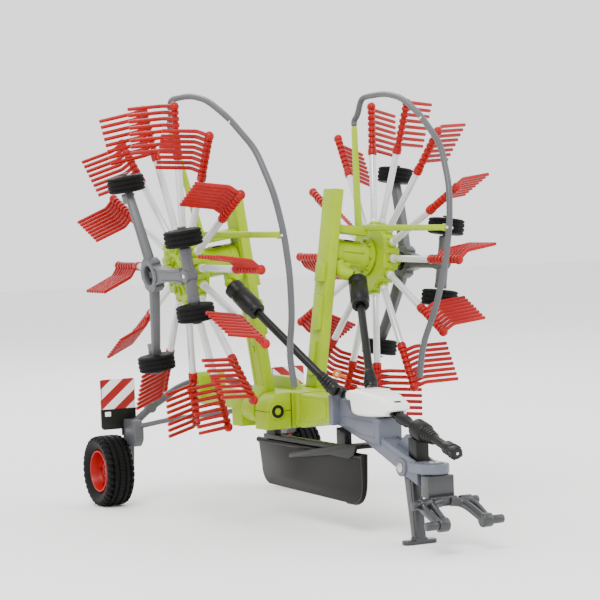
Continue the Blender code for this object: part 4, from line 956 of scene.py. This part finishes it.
def build_side(word, side):
    """Everything of one side: rotor, arm and drive shaft, then road wheel and warning board."""
    place = rotor(side)

    def put(name, parts, material, body, slot, replaces=()):
        """One piece in rotor places; its name, body and nodes take the side's word."""
        piece(f"{word}_{name}", [placed(p, place) for p in parts], material, f"{word}_{body}",
              [f"{word}_{node}" for node in replaces])

    put("combs", spread(comb()), RED, "rotor", "red_plastic", ["tine_arms"])
    collars = [pin((24.0, 0, 0), (27.5, 0, 0), 2.75, 0.4, 16),
               pin((22.0, 0, 0), (74.6, 0, 0), 2.3, 0.3, 16)]
    put("arm_tubes", spread(gathered(collars)), PEARL, "rotor", "white_plastic")
    put("hub", hub(), LIME, "rotor", "lime_green", ["rotor_hub"])
    put("gear_housing", housing(), LIME, "arm", "lime_green", ["rotor_housing"])
    # A black patch of painted shade for the drum's opening, and the black bearing in the carriage's
    # ring.
    put("opening_shade_and_bearing", dark_parts(), BLACK, "arm", "black_plastic")
    put("wheel_carriage", carriage(), GREY, "arm", "grey_plastic", ["carriage"])
    put("guard_bar", guard(), GREY, "arm", "grey_plastic", ["guard"])
    put("guard_rivets", rivets(), PEARL, "arm", "zinc_metal")
    put("stay", guard_stay(), LIME, "arm", "lime_green", ["guard_stay"])
    put("lift_boom", boom(), LIME, "arm", "lime_green", ["boom"])
    put("shaft_sleeve", drive_tube(), BLACK, "drive_tube", "black_plastic", ["drive_tube"])
    put("shaft_rod", drive_rod(), BLACK, "drive_rod", "black_plastic", ["drive_rod"])
    if side > 0:
        seat = facing((-81.6, -28.4, -5.0), (0.0, 0.85, -0.55))
        put("marker_disc", [placed(disc(3.1, 0, 1.4, 0.5, 28), seat),
                            pin((-83.8, -19.4, 0), (-81.6, -28.2, -5.3), 1.0)], ORANGE, "rotor",
            "red_plastic")
        put("marker_core", [placed(disc(1.4, 1.1, 1.8, 0.3, 20), seat)], WHITE, "rotor",
            "white_plastic")
    corners = {"rear_upper": (60.0, REAR_SPINDLE), "front_upper": (24.0, BAR_FORWARD),
               "front_lower": (-24.0, BAR_FORWARD), "rear_lower": (-60.0, REAR_SPINDLE)}
    for corner, (up, forward) in corners.items():
        seat = facing((up, forward, BAR_OUT), (1, 0, 0))
        put(f"{corner}_roller", [placed(p, seat) for p in small_wheel()], RUBBER,
            f"{corner}_wheel", "black_rubber", [f"{corner}_wheel"])

    ground = chassis()
    hub_place = ground @ facing((side * 77.0, 0, WHEEL_RADIUS), (side, 0, 0))
    piece(f"{word}_road_tread", [placed(p, hub_place) for p in road_tyre()], RUBBER,
          f"{word}_road_wheel", [f"{word}_tyre"])
    piece(f"{word}_road_rim", [placed(p, hub_place) for p in rim()], RED, f"{word}_road_wheel",
          [f"{word}_rim"])
    board = striped(f"{word}_printed_warning_film", side)
    piece(f"{word}_warning_board", [placed(p, ground) for p in sign_board(side)], board, "chassis",
          [f"{word}_sign"])
    piece(f"{word}_board_foot", [placed(p, ground) for p in sign_foot(side)], BLACK, "chassis")
    lamp = block((side * 76.6 - 2.2, 4.6, 63.6), (side * 76.6 + 2.2, 5.4, 66.8), 0.2, 0.3)
    piece(f"{word}_reflector", [placed(lamp, ground)], WHITE, "chassis")


def build_chassis():
    """The frame, drawbar, gearbox, axle and curtain, and the leg and tow fork that move on them."""
    ground = chassis()

    def put(name, parts, material, slot, replaces=(), body="chassis"):
        """One piece in chassis places."""
        piece(name, [placed(p, ground) for p in parts], material, body, replaces)

    put("main_frame", centre_frame(), LIME, "lime_green", ["centre_frame"])
    put("pin_rings", frame_pins(), BLACK, "black_plastic")
    # Thin olive strips of painted shade along the frame's grooves.
    put("frame_painted_groove_shade", frame_groove_shade(), GROOVE_SHADE, "lime_green")
    put("towbar", drawbar(), SLATE, "blue_grey_plastic", ["drawbar"])
    # The swivel's dark disc is painted shade in the gap under the eye plate.
    put("shaft_post_and_gap_shade", shaft_post_and_gap_shade(), BLACK, "black_plastic")
    put("gear_cover", cover(), WHITE, "white_plastic", ["gearbox_cover"])
    # Black patches of painted shade in the cover's slot and notch.
    put("cover_painted_recess_shade", cover_recess_shade(), BLACK, "black_plastic")
    put("input_shaft", power_input(), BLACK, "black_plastic", ["power_input"])
    put("yoke_core", yoke_light(), PEARL, "white_plastic")
    put("axle", axle(), GREY, "grey_plastic", ["axle_beam"])
    put("curtain_sheet", curtain(), FILM, "black_plastic", ["swath_curtain"])
    put("curtain_rail", bracket(), BLACK, "black_plastic", ["curtain_bracket"])
    put("leg", stand(), DARK_GREY, "grey_plastic", ["stand"], "stand")
    put("leg_rivet", stand_pin(), ZINC, "zinc_metal", ["stand_pin"])
    put("tow_fork", hitch(), DARK_GREY, "grey_plastic", ["hitch"], "hitch")
    put("tow_rivet", hitch_pin(), ZINC, "zinc_metal", ["hitch_pin"])


def studio():
    """Pale floor, white surroundings and three square lights: a key, a fill and one behind."""
    mesh = bpy.data.meshes.new("floor")
    reach = 4.0
    corners = [(-reach, -reach, 0), (reach, -reach, 0), (reach, reach, 0), (-reach, reach, 0)]
    mesh.from_pydata(corners, [], [(0, 1, 2, 3)])
    floor = bpy.data.objects.new("floor", mesh)
    bpy.context.scene.collection.objects.link(floor)
    paper = bpy.data.materials.new("matt_white_paper_floor")
    paper.use_nodes = True
    shader = paper.node_tree.nodes["Principled BSDF"]
    shader.inputs["Base Color"].default_value = linear("#F5F5F4")
    shader.inputs["Roughness"].default_value = 0.9
    mesh.materials.append(paper)
    world = bpy.data.worlds.new("studio")
    world.use_nodes = True
    background = world.node_tree.nodes["Background"]
    background.inputs["Color"].default_value = linear("#FFFFFF")
    background.inputs["Strength"].default_value = 1.7
    bpy.context.scene.world = world
    # Each light's name, its place in metres, its watts and the side of its square in metres.
    lights = (("key", (-0.9, -1.0, 1.6), 34, 0.9), ("fill", (1.3, -0.7, 0.9), 8, 1.2),
              ("back", (0.2, 1.2, 1.2), 12, 1.0))
    for name, place, power, size in lights:
        data = bpy.data.lights.new(name, "AREA")
        data.energy, data.size = power, size
        lamp = bpy.data.objects.new(name, data)
        bpy.context.scene.collection.objects.link(lamp)
        lamp.location = place
        aim = Vector((0, 0, 0.12)) - lamp.location
        lamp.rotation_euler = aim.to_track_quat("-Z", "Y").to_euler()


def camera():
    """Square long-lens view from ahead and to the left, turned slightly about its own axis."""
    azimuth, height, roll = math.radians(-28.11), math.radians(2.63), math.radians(-1.98)
    target, distance, lens = (39.86, AXLE_Y - 80.0, 141.67), 1620.42, 139.1634
    back = Vector((math.sin(azimuth) * math.cos(height), -math.cos(azimuth) * math.cos(height),
                   math.sin(height)))
    right = Vector((math.cos(azimuth), math.sin(azimuth), 0))
    up = back.cross(right)
    right, up = (right * math.cos(roll) + up * math.sin(roll),
                 up * math.cos(roll) - right * math.sin(roll))
    data = bpy.data.cameras.new("camera")
    data.sensor_width = 36.0
    data.lens = lens
    eye = bpy.data.objects.new("camera", data)
    aim = Vector(target) * MM
    axes = Matrix((right, up, back)).transposed().to_4x4()
    eye.matrix_world = Matrix.Translation(aim + back * distance * MM) @ axes
    bpy.context.scene.collection.objects.link(eye)
    bpy.context.scene.camera = eye


camera()
studio()
for word, side in SIDES.items():
    build_side(word, side)
build_chassis()
